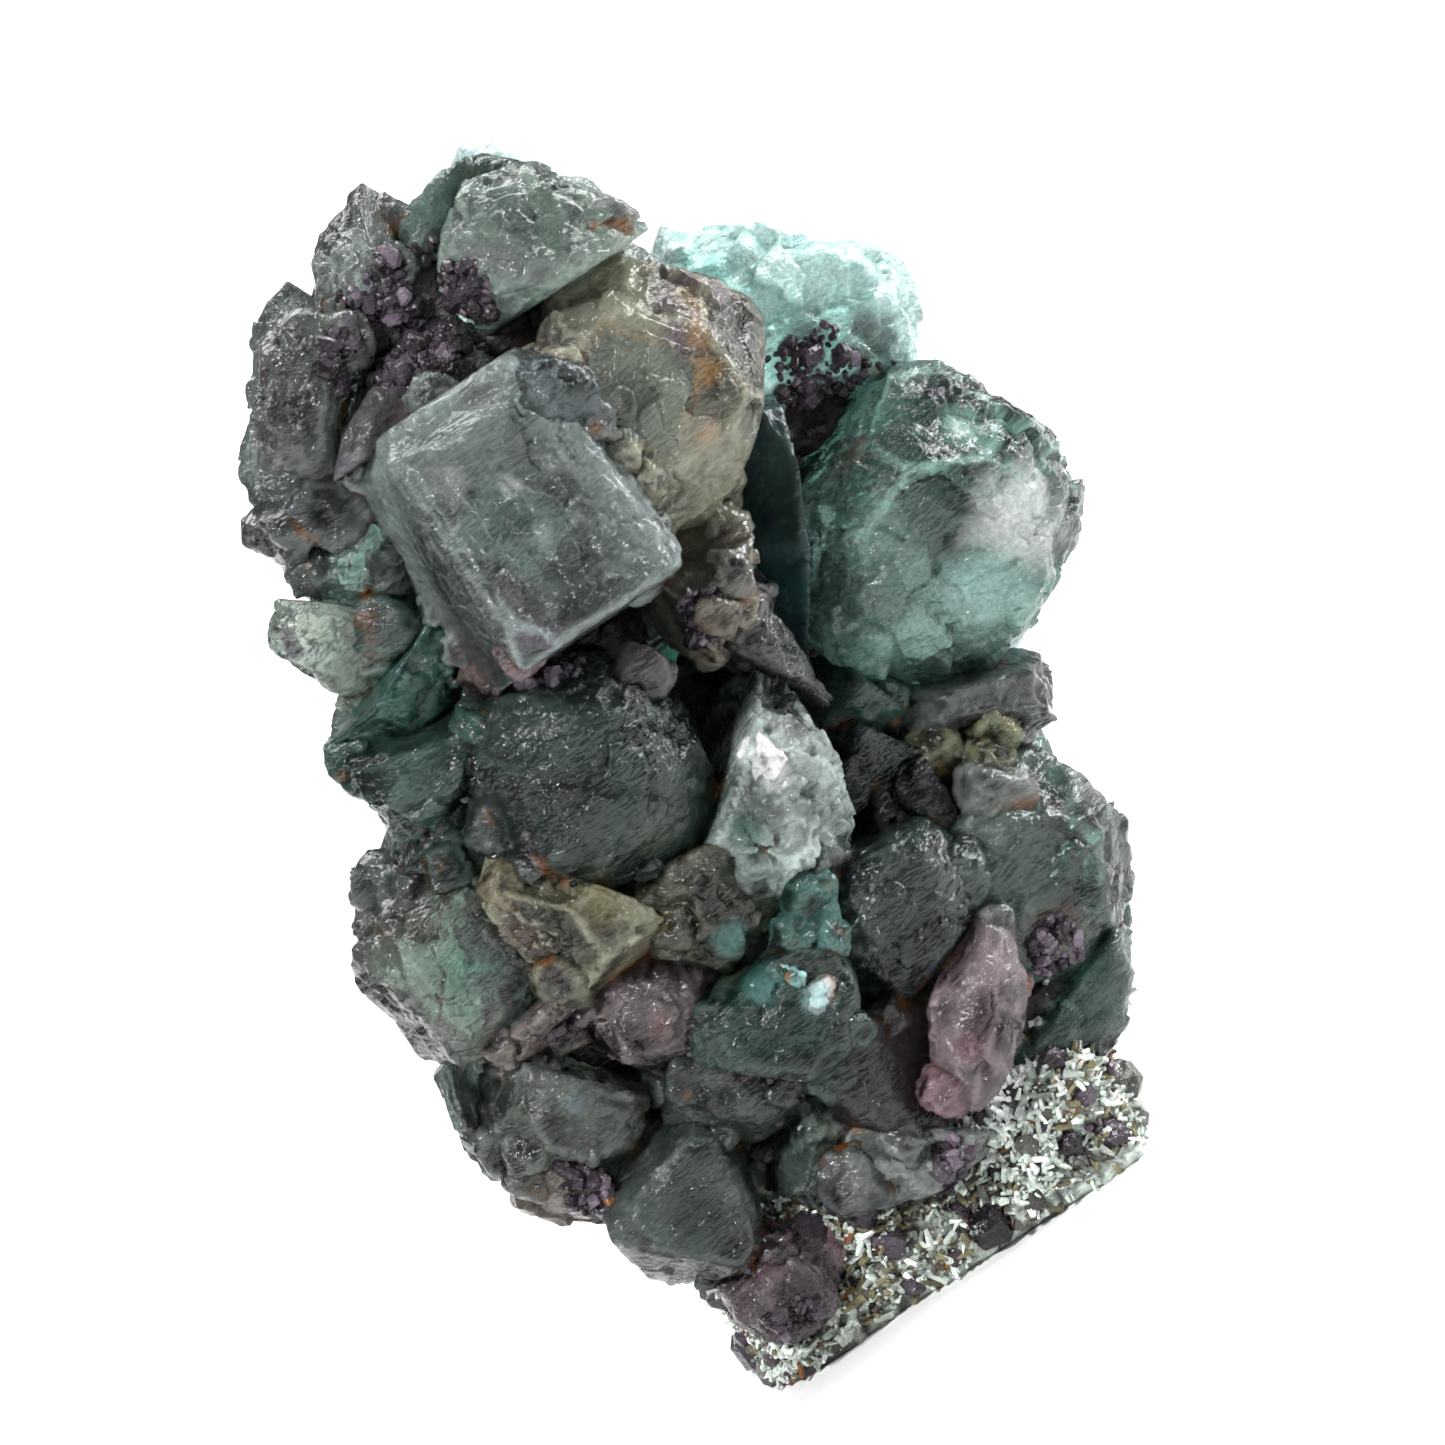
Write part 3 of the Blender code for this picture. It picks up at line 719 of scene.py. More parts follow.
def store_tint(mesh, tint):
    """Keeps the tint of every point on the mesh, where the materials read it."""
    attribute = mesh.attributes.new("tint", "FLOAT_COLOR", "POINT")
    rgba = np.ones((len(tint), 4), np.float32)
    rgba[:, :3] = tint
    attribute.data.foreach_set("color", rgba.ravel())


# ---------------------------------------------------------------------------------------------------------
# Materials
# ---------------------------------------------------------------------------------------------------------


def add_node(tree, kind, place, settings=(), **inputs):
    """A node with settings of its own and values on its sockets, whose spaces are written as underscores."""
    made = tree.nodes.new(kind)
    made.location = place
    for name, value in dict(settings).items():
        setattr(made, name, value)
    for name, value in inputs.items():
        made.inputs[name.replace("_", " ")].default_value = value
    return made


def add_maths(tree, operation, place, first, second):
    """A maths node of two inputs, each a number or a socket."""
    made = add_node(tree, "ShaderNodeMath", place, {"operation": operation})
    for socket, value in zip(made.inputs, (first, second)):
        if isinstance(value, (int, float)):
            socket.default_value = value
        else:
            tree.links.new(value, socket)
    return made.outputs[0]


TILE_SHARE, LINE_SHARE, FACET_SHARE = 0.45, 0.5, 0.3  # how often, for each pit of the etching
FACET_TILT = 0.34
PATCHES_PER_METRE = 480.0  # of rougher and smoother skin
IOR = 1.434  # of fluorite


def etched_surface_group():
    """Fine etching of a crystal's skin: its normal, how rough it is, and how frosted."""
    name = "etched_surface"
    if name in bpy.data.node_groups:
        return bpy.data.node_groups[name]
    tree = bpy.data.node_groups.new(name, "ShaderNodeTree")
    for label, value in (("Grain Size", 0.0004), ("Depth", 0.0001), ("Roughness", 0.3)):
        socket = tree.interface.new_socket(label, in_out="INPUT", socket_type="NodeSocketFloat")
        socket.default_value = value
    for label, kind in (("Normal", "Vector"), ("Roughness", "Float"), ("Frost", "Float")):
        tree.interface.new_socket(label, in_out="OUTPUT", socket_type="NodeSocket" + kind)
    start = add_node(tree, "NodeGroupInput", (-1400, 0))
    end = add_node(tree, "NodeGroupOutput", (800, 0))
    link = tree.links.new
    place = add_node(tree, "ShaderNodeTexCoord", (-1400, -300)).outputs["Object"]
    often = add_maths(tree, "DIVIDE", (-1200, 0), 1.0, start.outputs["Grain Size"])
    turned = add_node(tree, "ShaderNodeMapping", (-1200, -300), Rotation=(0.2, LEAN, 0.3), Scale=(1, 1, 2.5))
    link(place, turned.inputs["Vector"])
    pits = add_node(tree, "ShaderNodeTexNoise", (-900, 200), Detail=3.0, Roughness=0.65)
    link(place, pits.inputs["Vector"])
    link(often, pits.inputs["Scale"])
    tiles = add_node(tree, "ShaderNodeTexVoronoi", (-900, -100), {"distance": "CHEBYCHEV"}, Randomness=0.8)
    link(turned.outputs["Vector"], tiles.inputs["Vector"])
    link(add_maths(tree, "MULTIPLY", (-1050, -100), often, TILE_SHARE), tiles.inputs["Scale"])
    lines = add_node(tree, "ShaderNodeTexNoise", (-900, -450), Detail=2.0, Roughness=0.5)
    link(turned.outputs["Vector"], lines.inputs["Vector"])
    link(add_maths(tree, "MULTIPLY", (-1050, -450), often, LINE_SHARE), lines.inputs["Scale"])
    patches = add_node(tree, "ShaderNodeTexNoise", (-900, 500), Scale=PATCHES_PER_METRE, Detail=2.0)
    link(place, patches.inputs["Vector"])
    height = add_maths(tree, "ADD", (-600, 0), pits.outputs["Fac"], tiles.outputs["Distance"])
    height = add_maths(tree, "ADD", (-450, 0), height, lines.outputs["Fac"])
    bump = add_node(tree, "ShaderNodeBump", (-200, -200), Strength=1.0)
    link(start.outputs["Depth"], bump.inputs["Distance"])
    link(height, bump.inputs["Height"])
    facets = add_node(tree, "ShaderNodeTexVoronoi", (-900, -700), Randomness=1.0)
    link(turned.outputs["Vector"], facets.inputs["Vector"])
    link(add_maths(tree, "MULTIPLY", (-1050, -700), often, FACET_SHARE), facets.inputs["Scale"])
    centred = add_node(tree, "ShaderNodeVectorMath", (-600, -700), {"operation": "SUBTRACT"})
    link(facets.outputs["Color"], centred.inputs[0])
    centred.inputs[1].default_value = (0.5, 0.5, 0.5)
    tilt = add_node(tree, "ShaderNodeVectorMath", (-400, -700), {"operation": "SCALE"}, Scale=FACET_TILT)
    link(centred.outputs["Vector"], tilt.inputs[0])
    tilted = add_node(tree, "ShaderNodeVectorMath", (0, -400), {"operation": "ADD"})
    link(bump.outputs["Normal"], tilted.inputs[0])
    link(tilt.outputs["Vector"], tilted.inputs[1])
    unit = add_node(tree, "ShaderNodeVectorMath", (200, -400), {"operation": "NORMALIZE"})
    link(tilted.outputs["Vector"], unit.inputs[0])
    link(unit.outputs["Vector"], end.inputs["Normal"])
    swing = add_maths(tree, "ADD", (-400, 300), patches.outputs["Fac"], pits.outputs["Fac"])
    rough = add_maths(tree, "MULTIPLY", (-200, 300), swing, start.outputs["Roughness"])
    link(rough, end.inputs["Roughness"])
    frost = add_node(
        tree, "ShaderNodeMapRange", (0, 100), From_Min=0.42, From_Max=0.62, To_Min=0.88, To_Max=1.16
    )
    link(pits.outputs["Fac"], frost.inputs["Value"])
    link(frost.outputs["Result"], end.inputs["Frost"])
    return tree


class Look(NamedTuple):
    """The make-up of one kind of crystal."""

    clear: float
    roughness: float
    deep_colour: tuple  # of the light that its depth lets through
    swallow: float  # how much a metre of it swallows
    openness: float  # the power that its tint is raised to
    grain: float = 0.00026  # size of its etching, in metres, and below it the depth
    depth: float = 0.00007


LOOKS = {
    "green_fluorite": Look(0.84, 0.12, (0.38, 0.66, 0.59), 170.0, 0.70),
    "grey_fluorite": Look(0.76, 0.13, (0.56, 0.66, 0.63), 150.0, 0.78),
    "amber_fluorite": Look(0.70, 0.15, (0.66, 0.60, 0.42), 170.0, 0.76),
    "mint_fluorite": Look(0.60, 0.12, (0.50, 0.80, 0.75), 110.0, 0.82),
    "lilac_fluorite": Look(0.72, 0.13, (0.66, 0.55, 0.62), 200.0, 0.80),
    "matrix_rock": Look(0.0, 0.42, (1.0, 1.0, 1.0), 0.0, 1.0, 0.0003, 0.0001),
    "broken_fluorite": Look(0.40, 0.10, (0.50, 0.62, 0.58), 200.0, 0.90),
    "dusty_druse": Look(0.30, 0.14, (0.60, 0.50, 0.60), 300.0, 1.0),
}
GREEN, GREY, AMBER, MINT, LILAC, ROCK, BROKEN, DRUSE = LOOKS
BROKEN_NODES = {"silver_break", "dome_skirt", "waist_crust", "fractured_grey"}


def look_of(node):
    """The kind of look that the crystal of a node has."""
    return BROKEN if node in BROKEN_NODES else SLOTS[node]


def crystal_material(kind):
    """The material of one kind, made once."""
    name = kind + "_look"
    if name in bpy.data.materials:
        return bpy.data.materials[name]
    look = LOOKS[kind]
    made = bpy.data.materials.new(name)
    made.use_nodes = True
    tree = made.node_tree
    link = tree.links.new
    shader = tree.nodes["Principled BSDF"]
    shader.inputs["IOR"].default_value = IOR
    shader.inputs["Transmission Weight"].default_value = look.clear
    tint = add_node(tree, "ShaderNodeAttribute", (-800, 300), {"attribute_name": "tint"})
    skin = add_node(tree, "ShaderNodeGroup", (-800, -100), {"node_tree": etched_surface_group()})
    skin.inputs["Grain Size"].default_value = look.grain
    skin.inputs["Depth"].default_value = look.depth
    skin.inputs["Roughness"].default_value = look.roughness
    frosting = add_node(tree, "ShaderNodeVectorMath", (-400, 300), {"operation": "SCALE"})
    link(tint.outputs["Color"], frosting.inputs[0])
    link(skin.outputs["Frost"], frosting.inputs["Scale"])
    link(frosting.outputs["Vector"], shader.inputs["Base Color"])
    link(skin.outputs["Roughness"], shader.inputs["Roughness"])
    link(skin.outputs["Normal"], shader.inputs["Normal"])
    if look.clear:
        deep = add_node(tree, "ShaderNodeVolumeAbsorption", (-400, -400), Density=look.swallow)
        deep.inputs["Color"].default_value = (*look.deep_colour, 1)
        link(deep.outputs["Volume"], tree.nodes["Material Output"].inputs["Volume"])
    return made


CRYSTAL_NAME = "_crystal"  # after the node's name, in the name of the piece that stands for it


def add_piece(name, mesh, slot, *nodes, kind=None, smooth=True):
    """A finished piece of the specimen, which stands for the named solids."""
    mesh.polygons.foreach_set("use_smooth", np.full(len(mesh.polygons), smooth))
    mesh.materials.append(crystal_material(kind or slot))
    piece = bpy.data.objects.new(name, mesh)
    bpy.context.scene.collection.objects.link(piece)
    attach(piece, "root")
    if nodes:
        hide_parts(*nodes)
    return piece


# ---------------------------------------------------------------------------------------------------------
# The pieces
# ---------------------------------------------------------------------------------------------------------


def build_crystals(settings):
    """The large crystals, one for each solid of the frame."""
    for node in CRYSTAL_NODES:
        solid = SOLIDS[node]
        growth = GROWTHS.get(node, DEFAULT_GROWTH)
        detail = next(level for size, level in DETAIL_SIZES if solid.reach >= size)
        detail -= node.startswith(BACK) or node in LESS_SEEN
        grow_out = settings.grow_out / TO_METRES
        name = node + CRYSTAL_NAME
        surface = grow_surface(name, solid, growth, detail, touching_faces(node), grow_out, node)
        kind = look_of(node)
        openness = LOOKS[kind].openness
        tint = paint_surface(surface, tone_of(node), openness, seed_of(node), solid.reach, settings)
        store_tint(surface.mesh, tint)
        add_piece(name, surface.mesh, SLOTS[node], node, kind=kind)


def tone_of(node):
    """The colour of a crystal on the whole."""
    return TONES.get(node, KIND_TONES[SLOTS[node]])


class Small(NamedTuple):
    """A small crystal: the large one it sits on, where on its front, and how far its middle is sunk."""

    node: str
    across: float
    up: float
    sink: float
    half: tuple
    turn: tuple
    kind: str
    tone: tuple
    corner: float = 2.2
    edge: float = 1.8


SMALLS = (
    # Rounded cubes stacked down the right side of the head.
    Small("amber_lower", 1.4, 1.6, 0.5, (1.3, 1.4, 1.1), (10, 12, 20), GREY, (0.20, 0.20, 0.17)),
    Small("amber_lower", 1.6, -0.6, 0.6, (1.0, 1.2, 1.3), (0, -10, 15), GREY, (0.16, 0.16, 0.14)),
    Small("amber_lower", 1.0, -2.6, 0.4, (1.2, 1.2, 1.0), (8, 20, 0), AMBER, (0.12, 0.11, 0.09)),
    Small("spine", -0.6, 2.4, 0.3, (0.9, 1.0, 1.2), (0, 20, 10), GREY, (0.10, 0.10, 0.105)),
    # Between the rhomb and the crystals above it.
    Small("left_fold", 1.5, 0.8, 0.8, (2.0, 1.8, 1.8), (0, 25, 15), GREY, (0.08, 0.09, 0.09)),
    Small("ledge_pale", 1.8, 0.6, 1.0, (1.7, 1.7, 1.6), (10, 35, 0), GREEN, (0.05, 0.08, 0.07)),
    # The broken crust along the rhomb's lower left side.
    Small("great_rhomb", -5.8, -2.6, 0.9, (1.2, 1.2, 1.0), (5, 30, 20), GREY, (0.12, 0.11, 0.10)),
    Small("great_rhomb", -5.0, -4.2, 0.8, (1.3, 1.1, 1.2), (12, 10, 35), AMBER, (0.11, 0.08, 0.07)),
    Small("great_rhomb", -4.0, -5.6, 0.9, (1.2, 1.3, 1.0), (0, 45, 10), LILAC, (0.10, 0.07, 0.075)),
    Small("great_rhomb", -2.8, -6.6, 0.8, (1.3, 1.2, 1.1), (20, 20, 0), GREY, (0.10, 0.09, 0.09)),
    Small("great_rhomb", -1.2, -7.2, 0.9, (1.1, 1.2, 1.2), (0, 35, 25), AMBER, (0.10, 0.075, 0.06)),
    Small("great_rhomb", 0.6, -6.6, 1.0, (1.1, 1.0, 1.0), (10, 50, 5), LILAC, (0.09, 0.065, 0.075)),
    Small("great_rhomb", 2.4, 6.2, 0.3, (1.9, 1.6, 1.4), (8, 10, 25), GREEN, (0.06, 0.075, 0.08)),
    Small("crown_plate", 4.0, 0.4, 1.2, (1.3, 1.5, 1.2), (0, 25, 10), GREY, (0.17, 0.18, 0.17)),
    Small("crown_left", 1.6, -3.6, 0.2, (1.5, 1.3, 1.3), (10, 10, 20), AMBER, (0.15, 0.14, 0.11)),
    Small("crown_left", 2.2, 0.6, 0.3, (1.2, 1.2, 1.4), (0, 30, 10), GREEN, (0.10, 0.12, 0.11)),
    Small("left_cheek", 1.8, 2.6, 0.8, (1.3, 1.3, 1.5), (0, -15, 25), GREY, (0.09, 0.09, 0.095)),
    Small("left_blade", -0.4, 3.0, 0.5, (1.1, 1.2, 1.0), (5, 20, 30), LILAC, (0.07, 0.055, 0.07)),
    # Around the lilac crystal and on the right.
    Small("lilac_bean", -1.6, -3.6, 0.6, (1.3, 1.3, 1.1), (10, 15, 20), LILAC, (0.18, 0.12, 0.14)),
    Small("east_low", -0.6, 2.0, 0.2, (2.0, 1.8, 1.9), (0, 20, 15), GREEN, (0.05, 0.10, 0.085)),
    Small("east_block", -1.2, 4.0, 0.4, (1.9, 1.8, 1.3), (10, 5, 20), GREY, (0.14, 0.15, 0.14)),
    Small("fractured_grey", 2.4, 1.4, 0.5, (1.5, 1.3, 1.2), (0, -20, 30), GREY, (0.13, 0.13, 0.12)),
    Small("grey_dome", 3.2, 1.6, 1.0, (1.4, 1.3, 1.2), (15, 10, 20), GREEN, (0.06, 0.09, 0.08)),
    # In the gaps of the front.
    Small("great_dome", 2.6, 4.6, 0.8, (1.5, 1.5, 1.3), (0, 25, 15), GREY, (0.08, 0.075, 0.085)),
    Small("great_dome", -4.4, -2.6, 0.9, (1.3, 1.3, 1.5), (5, 15, 20), GREEN, (0.05, 0.065, 0.06)),
    Small("dome_skirt", -3.2, 1.4, 0.6, (1.2, 1.2, 1.2), (0, 30, 15), AMBER, (0.10, 0.09, 0.06)),
    Small("silver_tooth", 2.4, -1.6, 0.6, (1.2, 1.1, 1.3), (10, -15, 10), GREEN, (0.06, 0.10, 0.09)),
    Small("teal_block", 2.4, 1.4, 0.1, (0.9, 0.5, 0.8), (10, -20, 30), BROKEN, (0.85, 1.0, 1.0)),
    Small("teal_block", 1.0, 2.4, 0.1, (0.7, 0.5, 0.5), (0, 20, -15), BROKEN, (0.30, 0.72, 0.68)),
    Small("teal_window", -0.4, 0.4, 0.1, (0.9, 0.5, 1.0), (-10, 15, 20), BROKEN, (0.24, 0.60, 0.55)),
    Small("silver_break", 1.2, 2.2, 0.1, (1.2, 0.5, 1.0), (15, 35, -10), BROKEN, (0.95, 1.0, 0.98)),
    Small("teal_block", -3.0, 1.4, 0.7, (1.2, 1.1, 1.0), (0, 10, 20), GREY, (0.10, 0.10, 0.09)),
    Small("waist_crust", -2.0, -2.2, 0.7, (1.3, 1.2, 1.2), (0, 35, 10), GREY, (0.09, 0.09, 0.085)),
    Small("foot_window", -2.4, 1.8, 0.8, (1.1, 1.2, 1.0), (0, 20, 20), GREEN, (0.07, 0.09, 0.08)),
    Small("foot_bar", -2.0, 0.6, 0.5, (1.2, 1.2, 1.0), (10, 10, 10), GREY, (0.08, 0.085, 0.08)),
    Small("kite", 3.4, 3.2, 1.0, (1.4, 1.3, 1.2), (0, 40, 20), LILAC, (0.14, 0.10, 0.10)),
    Small("pale_green", 0.4, -2.6, 0.5, (1.3, 1.2, 1.1), (0, 15, 30), GREY, (0.14, 0.15, 0.12)),
    Small("toe_violet", 2.2, 1.6, 0.6, (1.1, 1.1, 1.1), (0, 30, 10), LILAC, (0.12, 0.08, 0.09)),
)


def cube_solid(centre, turn, halves, corner, edge):
    """The solid of a small crystal: the planes of a cube, an octahedron and a dodecahedron."""
    normals, distances = [], []
    for signs in product((-1, 0, 1), repeat=3):
        faces = sum(map(abs, signs))
        if not faces:
            continue
        normal = Vector([sign / half for sign, half in zip(signs, halves)])
        reach = (1.0, edge, corner)[faces - 1] / normal.length
        normal = np.array((turn @ normal).normalized())
        normals.append(normal)
        distances.append(normal @ centre + reach)
    return Solid(np.array(normals), np.array(distances), centre, max(halves))


def joined_mesh(name, parts):
    """One mesh from several, each given with its tints."""
    joint = bmesh.new()
    for mesh, _ in parts:
        joint.from_mesh(mesh)
        bpy.data.meshes.remove(mesh)
    mesh = bpy.data.meshes.new(name)
    joint.to_mesh(mesh)
    joint.free()
    store_tint(mesh, np.concatenate([tint for _, tint in parts]))
    return mesh


def grow_small(name, solid, growth, kind, tone, least_room, settings):
    """A small crystal's mesh and tints; least_room keeps what is sunk in a neighbour from going black."""
    surface = grow_surface(name, solid, growth, SMALL_DETAIL)
    surface = surface._replace(crevice=np.maximum(surface.crevice, least_room))
    openness = LOOKS[kind].openness
    return surface.mesh, paint_surface(surface, tone, openness, seed_of(name), solid.reach, settings)


def add_joined_pieces(first_name, parts):
    """One piece for each kind of crystal, from the meshes and tints of that kind."""
    for kind, meshes in parts.items():
        name = first_name + kind
        add_piece(name, joined_mesh(name, meshes), MINT if kind == BROKEN else kind, kind=kind)


def build_small_crystals(settings):
    """The small crystals that sit on the large ones, each at a place of its own."""
    growth = Growth(softness=0.08, step=0.05, step_gap=0.5, block=0.05, block_size=0.8, wave=0.08)
    parts = {}
    for number, small in enumerate(SMALLS):
        centre = on_front(small.node, small.across, small.up) + AWAY * small.sink
        turn = HELD_TO_STANDING @ Euler([math.radians(angle) for angle in small.turn]).to_matrix()
        solid = cube_solid(centre, turn, small.half, small.corner, small.edge)
        grown = grow_small(f"small_{number}", solid, growth, small.kind, small.tone, 0.25, settings)
        parts.setdefault(small.kind, []).append(grown)
    add_joined_pieces("small_", parts)


def crevice_points(nearest, farthest, patchiness):
    """Points of the crystals' surfaces close to another crystal, with their normals and their nodes."""
    places, normals, nodes = [], [], []
    for node in CRYSTAL_NODES:
        solid = SOLIDS[node]
        points, normal = read_points(bpy.data.objects[node + CRYSTAL_NAME].data)
        room = room_around(solid.middle, solid.reach, points, node)
        lifted = points + 0.9 * normal
        open_air = room_around(solid.middle, solid.reach, lifted, node) > GAP
        caught = (room > nearest) & (room < farthest) & (points[:, 2] > 1.2) & open_air
        caught &= layered_noise(points, 2.6, 471, 2) > patchiness
        places.append(points[caught])
        normals.append(normal[caught])
        nodes.extend([node] * int(caught.sum()))
    return np.concatenate(places), np.concatenate(normals), nodes


def build_filler_crystals(settings):
    """Middle-sized crystals in the corners between the large ones, each akin to the one it leans on."""
    growth = Growth(softness=0.07, step=0.05, step_gap=0.5, block=0.04, block_size=0.8, etch=0.02, wave=0.06)
    places, normals, nodes = crevice_points(0.1, 0.8, -1.0)
    rng = random.Random(83)
    parts = {}
    for number, index in enumerate(spread_out(places, 1.75, rng, settings.filler_count)):
        node = nodes[index]
        half = rng.uniform(0.65, 1.55)
        turn = HELD_TO_STANDING @ Euler([rng.uniform(-0.6, 0.6) for _ in range(3)]).to_matrix()
        centre = places[index] - normals[index] * half * rng.uniform(0.2, 0.6)
        size = [half * rng.uniform(0.75, 1.2) for _ in range(3)]
        solid = cube_solid(centre, turn, size, rng.uniform(1.9, 2.5), rng.uniform(1.7, 1.95))
        tone = np.array(tone_of(node)) * rng.uniform(0.55, 1.5)
        grown = grow_small(f"filler_{number}", solid, growth, SLOTS[node], tone, 0.2, settings)
        parts.setdefault(SLOTS[node], []).append(grown)
    add_joined_pieces("filler_", parts)


def remeshed(mesh, size):
    """A mesh made again of small even faces, in place of the one that is given."""
    helper = bpy.data.objects.new("helper", mesh)
    bpy.context.scene.collection.objects.link(helper)
    modifier = helper.modifiers.new("even_faces", "REMESH")
    modifier.mode = "VOXEL"
    modifier.voxel_size = size
    bpy.context.view_layer.update()
    changed = helper.evaluated_get(bpy.context.evaluated_depsgraph_get())
    made = bpy.data.meshes.new_from_object(changed)
    bpy.data.objects.remove(helper)
    bpy.data.meshes.remove(mesh)
    return made


def rock_band(points):
    """How much each point belongs to the bare broken rock of the base, rather than to the druse above it."""
    return 1 - ramp(points[:, 2] + 1.6 * smooth_noise(points, 3.0, 410), 7.0, 10.0)


def paint_rock(points, settings):
    """Grains of pale green, olive and violet with dark voids on the base; violet-black druse above."""
    _, _, number, _ = cells(points, 0.75, 421)
    patch = layered_noise(points, 4.5, 424, 3)
    tint = np.tile(np.asarray(settings.rock_colour), (len(points), 1))
    pale = ramp(number + 0.9 * patch, 0.45, 0.62)
    tint = blended(tint, settings.rock_pale, pale)
    violet = ramp(number - 0.8 * patch, 0.62, 0.72)
    tint = blended(tint, settings.druse_colour, violet)
    void = ramp(layered_noise(points, 1.1, 427, 3), 0.15, 0.4)
    tint = tint * (1 - 0.8 * void)[:, None]
    tint = blended(tint, settings.stain_colour, 0.7 * ramp(layered_noise(points, 2.0, 431, 3), 0.4, 0.55))
    dark = np.asarray(settings.druse_colour) * 0.35
    return np.clip(blended(tint, dark, 1 - rock_band(points)), DARKEST, 1)


def build_rock(settings):
    """The matrix, remade fine enough to carry its grain. Loose grains are laid on it later."""
    copy = bmesh.new()
    copy.from_mesh(frame["nodes"][ROCK_NODE].data)
    bmesh.ops.remove_doubles(copy, verts=copy.verts, dist=1e-7)
    mesh = bpy.data.meshes.new("rock_plain")
    copy.to_mesh(mesh)
    copy.free()
    fine = remeshed(mesh, settings.rock_fineness)
    points, outward = read_points(fine)
    near, _, number, _ = cells(points, 1.1, 441)
    height = 0.32 * (number - 0.5) - 0.22 * ramp(near, 0.2, 0.9)
    height = height + 0.30 * layered_noise(points, 1.6, 444, 3)
    height = height * ramp(points[:, 2], 0.0, 0.8)
    points = points + outward * height[:, None]
    points[:, 2] = np.maximum(points[:, 2], 0.0)
    move_points(fine, points)
    store_tint(fine, paint_rock(points, settings))
    add_piece("matrix_rock", fine, ROCK, ROCK_NODE)


def taken_from(shape):
    """The points and faces of a shape that is then given up."""
    shape.verts.ensure_lookup_table()
    points = np.array([vert.co[:] for vert in shape.verts])
    faces = [[vert.index for vert in face.verts] for face in shape.faces]
    shape.free()
    return points, faces


def grain_shape():
    """One little cube with worn edges."""
    cube = bmesh.new()
    bmesh.ops.create_cube(cube, size=2)
    bmesh.ops.bevel(
        cube, geom=cube.edges[:], offset=0.42, segments=1, profile=0.5, affect="EDGES", material=-1
    )
    return taken_from(cube)


def splinter_shape():
    """One little splinter of rock, a five-sided spike with a blunt tip."""
    spike = bmesh.new()
    bmesh.ops.create_cone(spike, cap_ends=True, segments=5, radius1=1, radius2=0.45, depth=2)
    return taken_from(spike)


def scatter_grains(name, slot, places, outward, sizes, tints, seed, length, make_shape=grain_shape):
    """A piece made of little crystals, one at each place, that stand out of the surface by their length."""
    shape, faces = make_shape()
    rng = random.Random(seed)
    points, all_faces, all_tints = [], [], []
    for place, normal, size, tint in zip(places, outward, sizes, tints):
        turn = Vector(normal).to_track_quat("Z", "Y").to_matrix()
        turn = turn @ Euler([rng.uniform(-1, 1), rng.uniform(-1, 1), rng.uniform(0, 6.3)]).to_matrix()
        half = [rng.uniform(0.6, 1.2), rng.uniform(0.6, 1.2), length * rng.uniform(0.8, 1.4)]
        first = len(points) * len(shape)
        points.append(place + (shape * (size * np.array(half))) @ np.array(turn).T)
        all_faces.extend([[first + corner for corner in face] for face in faces])
        all_tints.append(np.tile(tint, (len(shape), 1)))
    points = np.concatenate(points)
    points[:, 2] = np.maximum(points[:, 2], 0.02)
    mesh = bpy.data.meshes.new(name)
    mesh.from_pydata((points * TO_METRES).tolist(), [], all_faces)
    mesh.update()
    store_tint(mesh, np.concatenate(all_tints))
    add_piece(name, mesh, slot, kind=slot if slot == ROCK else DRUSE, smooth=False)


def spread_out(points, spacing, rng, most):
    """Numbers of points, picked in a random order, that keep a spacing from one another."""
    order = list(range(len(points)))
    rng.shuffle(order)
    taken, kept = {}, []
    for index in order:
        cell = tuple(np.floor(points[index] / spacing).astype(int))
        around = (taken.get(tuple(np.add(cell, step))) for step in product((-1, 0, 1), repeat=3))
        if any(other is not None and math.dist(points[index], other) < spacing for other in around):
            continue
        taken[cell] = points[index]
        kept.append(index)
        if len(kept) >= most:
            break
    return kept


def free_surface(mesh, clearance):
    """The points of a piece that lie outside all the crystals by a clearance, with their normals."""
    points, outward = read_points(mesh)
    nearest = np.full(len(points), FAR)
    for solid in SOLIDS.values():
        nearest = np.minimum(nearest, depth_outside(solid, points))
    free = nearest > clearance
    return points[free], outward[free]


STAINED_SHARE = 0.025  # of the grains on the rock


class Grains(NamedTuple):
    """One kind of grain on the rock: where it lies, and its spacing, size, length, share and colours."""

    name: str
    slot: str
    bare: bool  # on the bare rock of the base, or above it
    spacing: float
    size: float
    length: float
    share: float
    palette: tuple


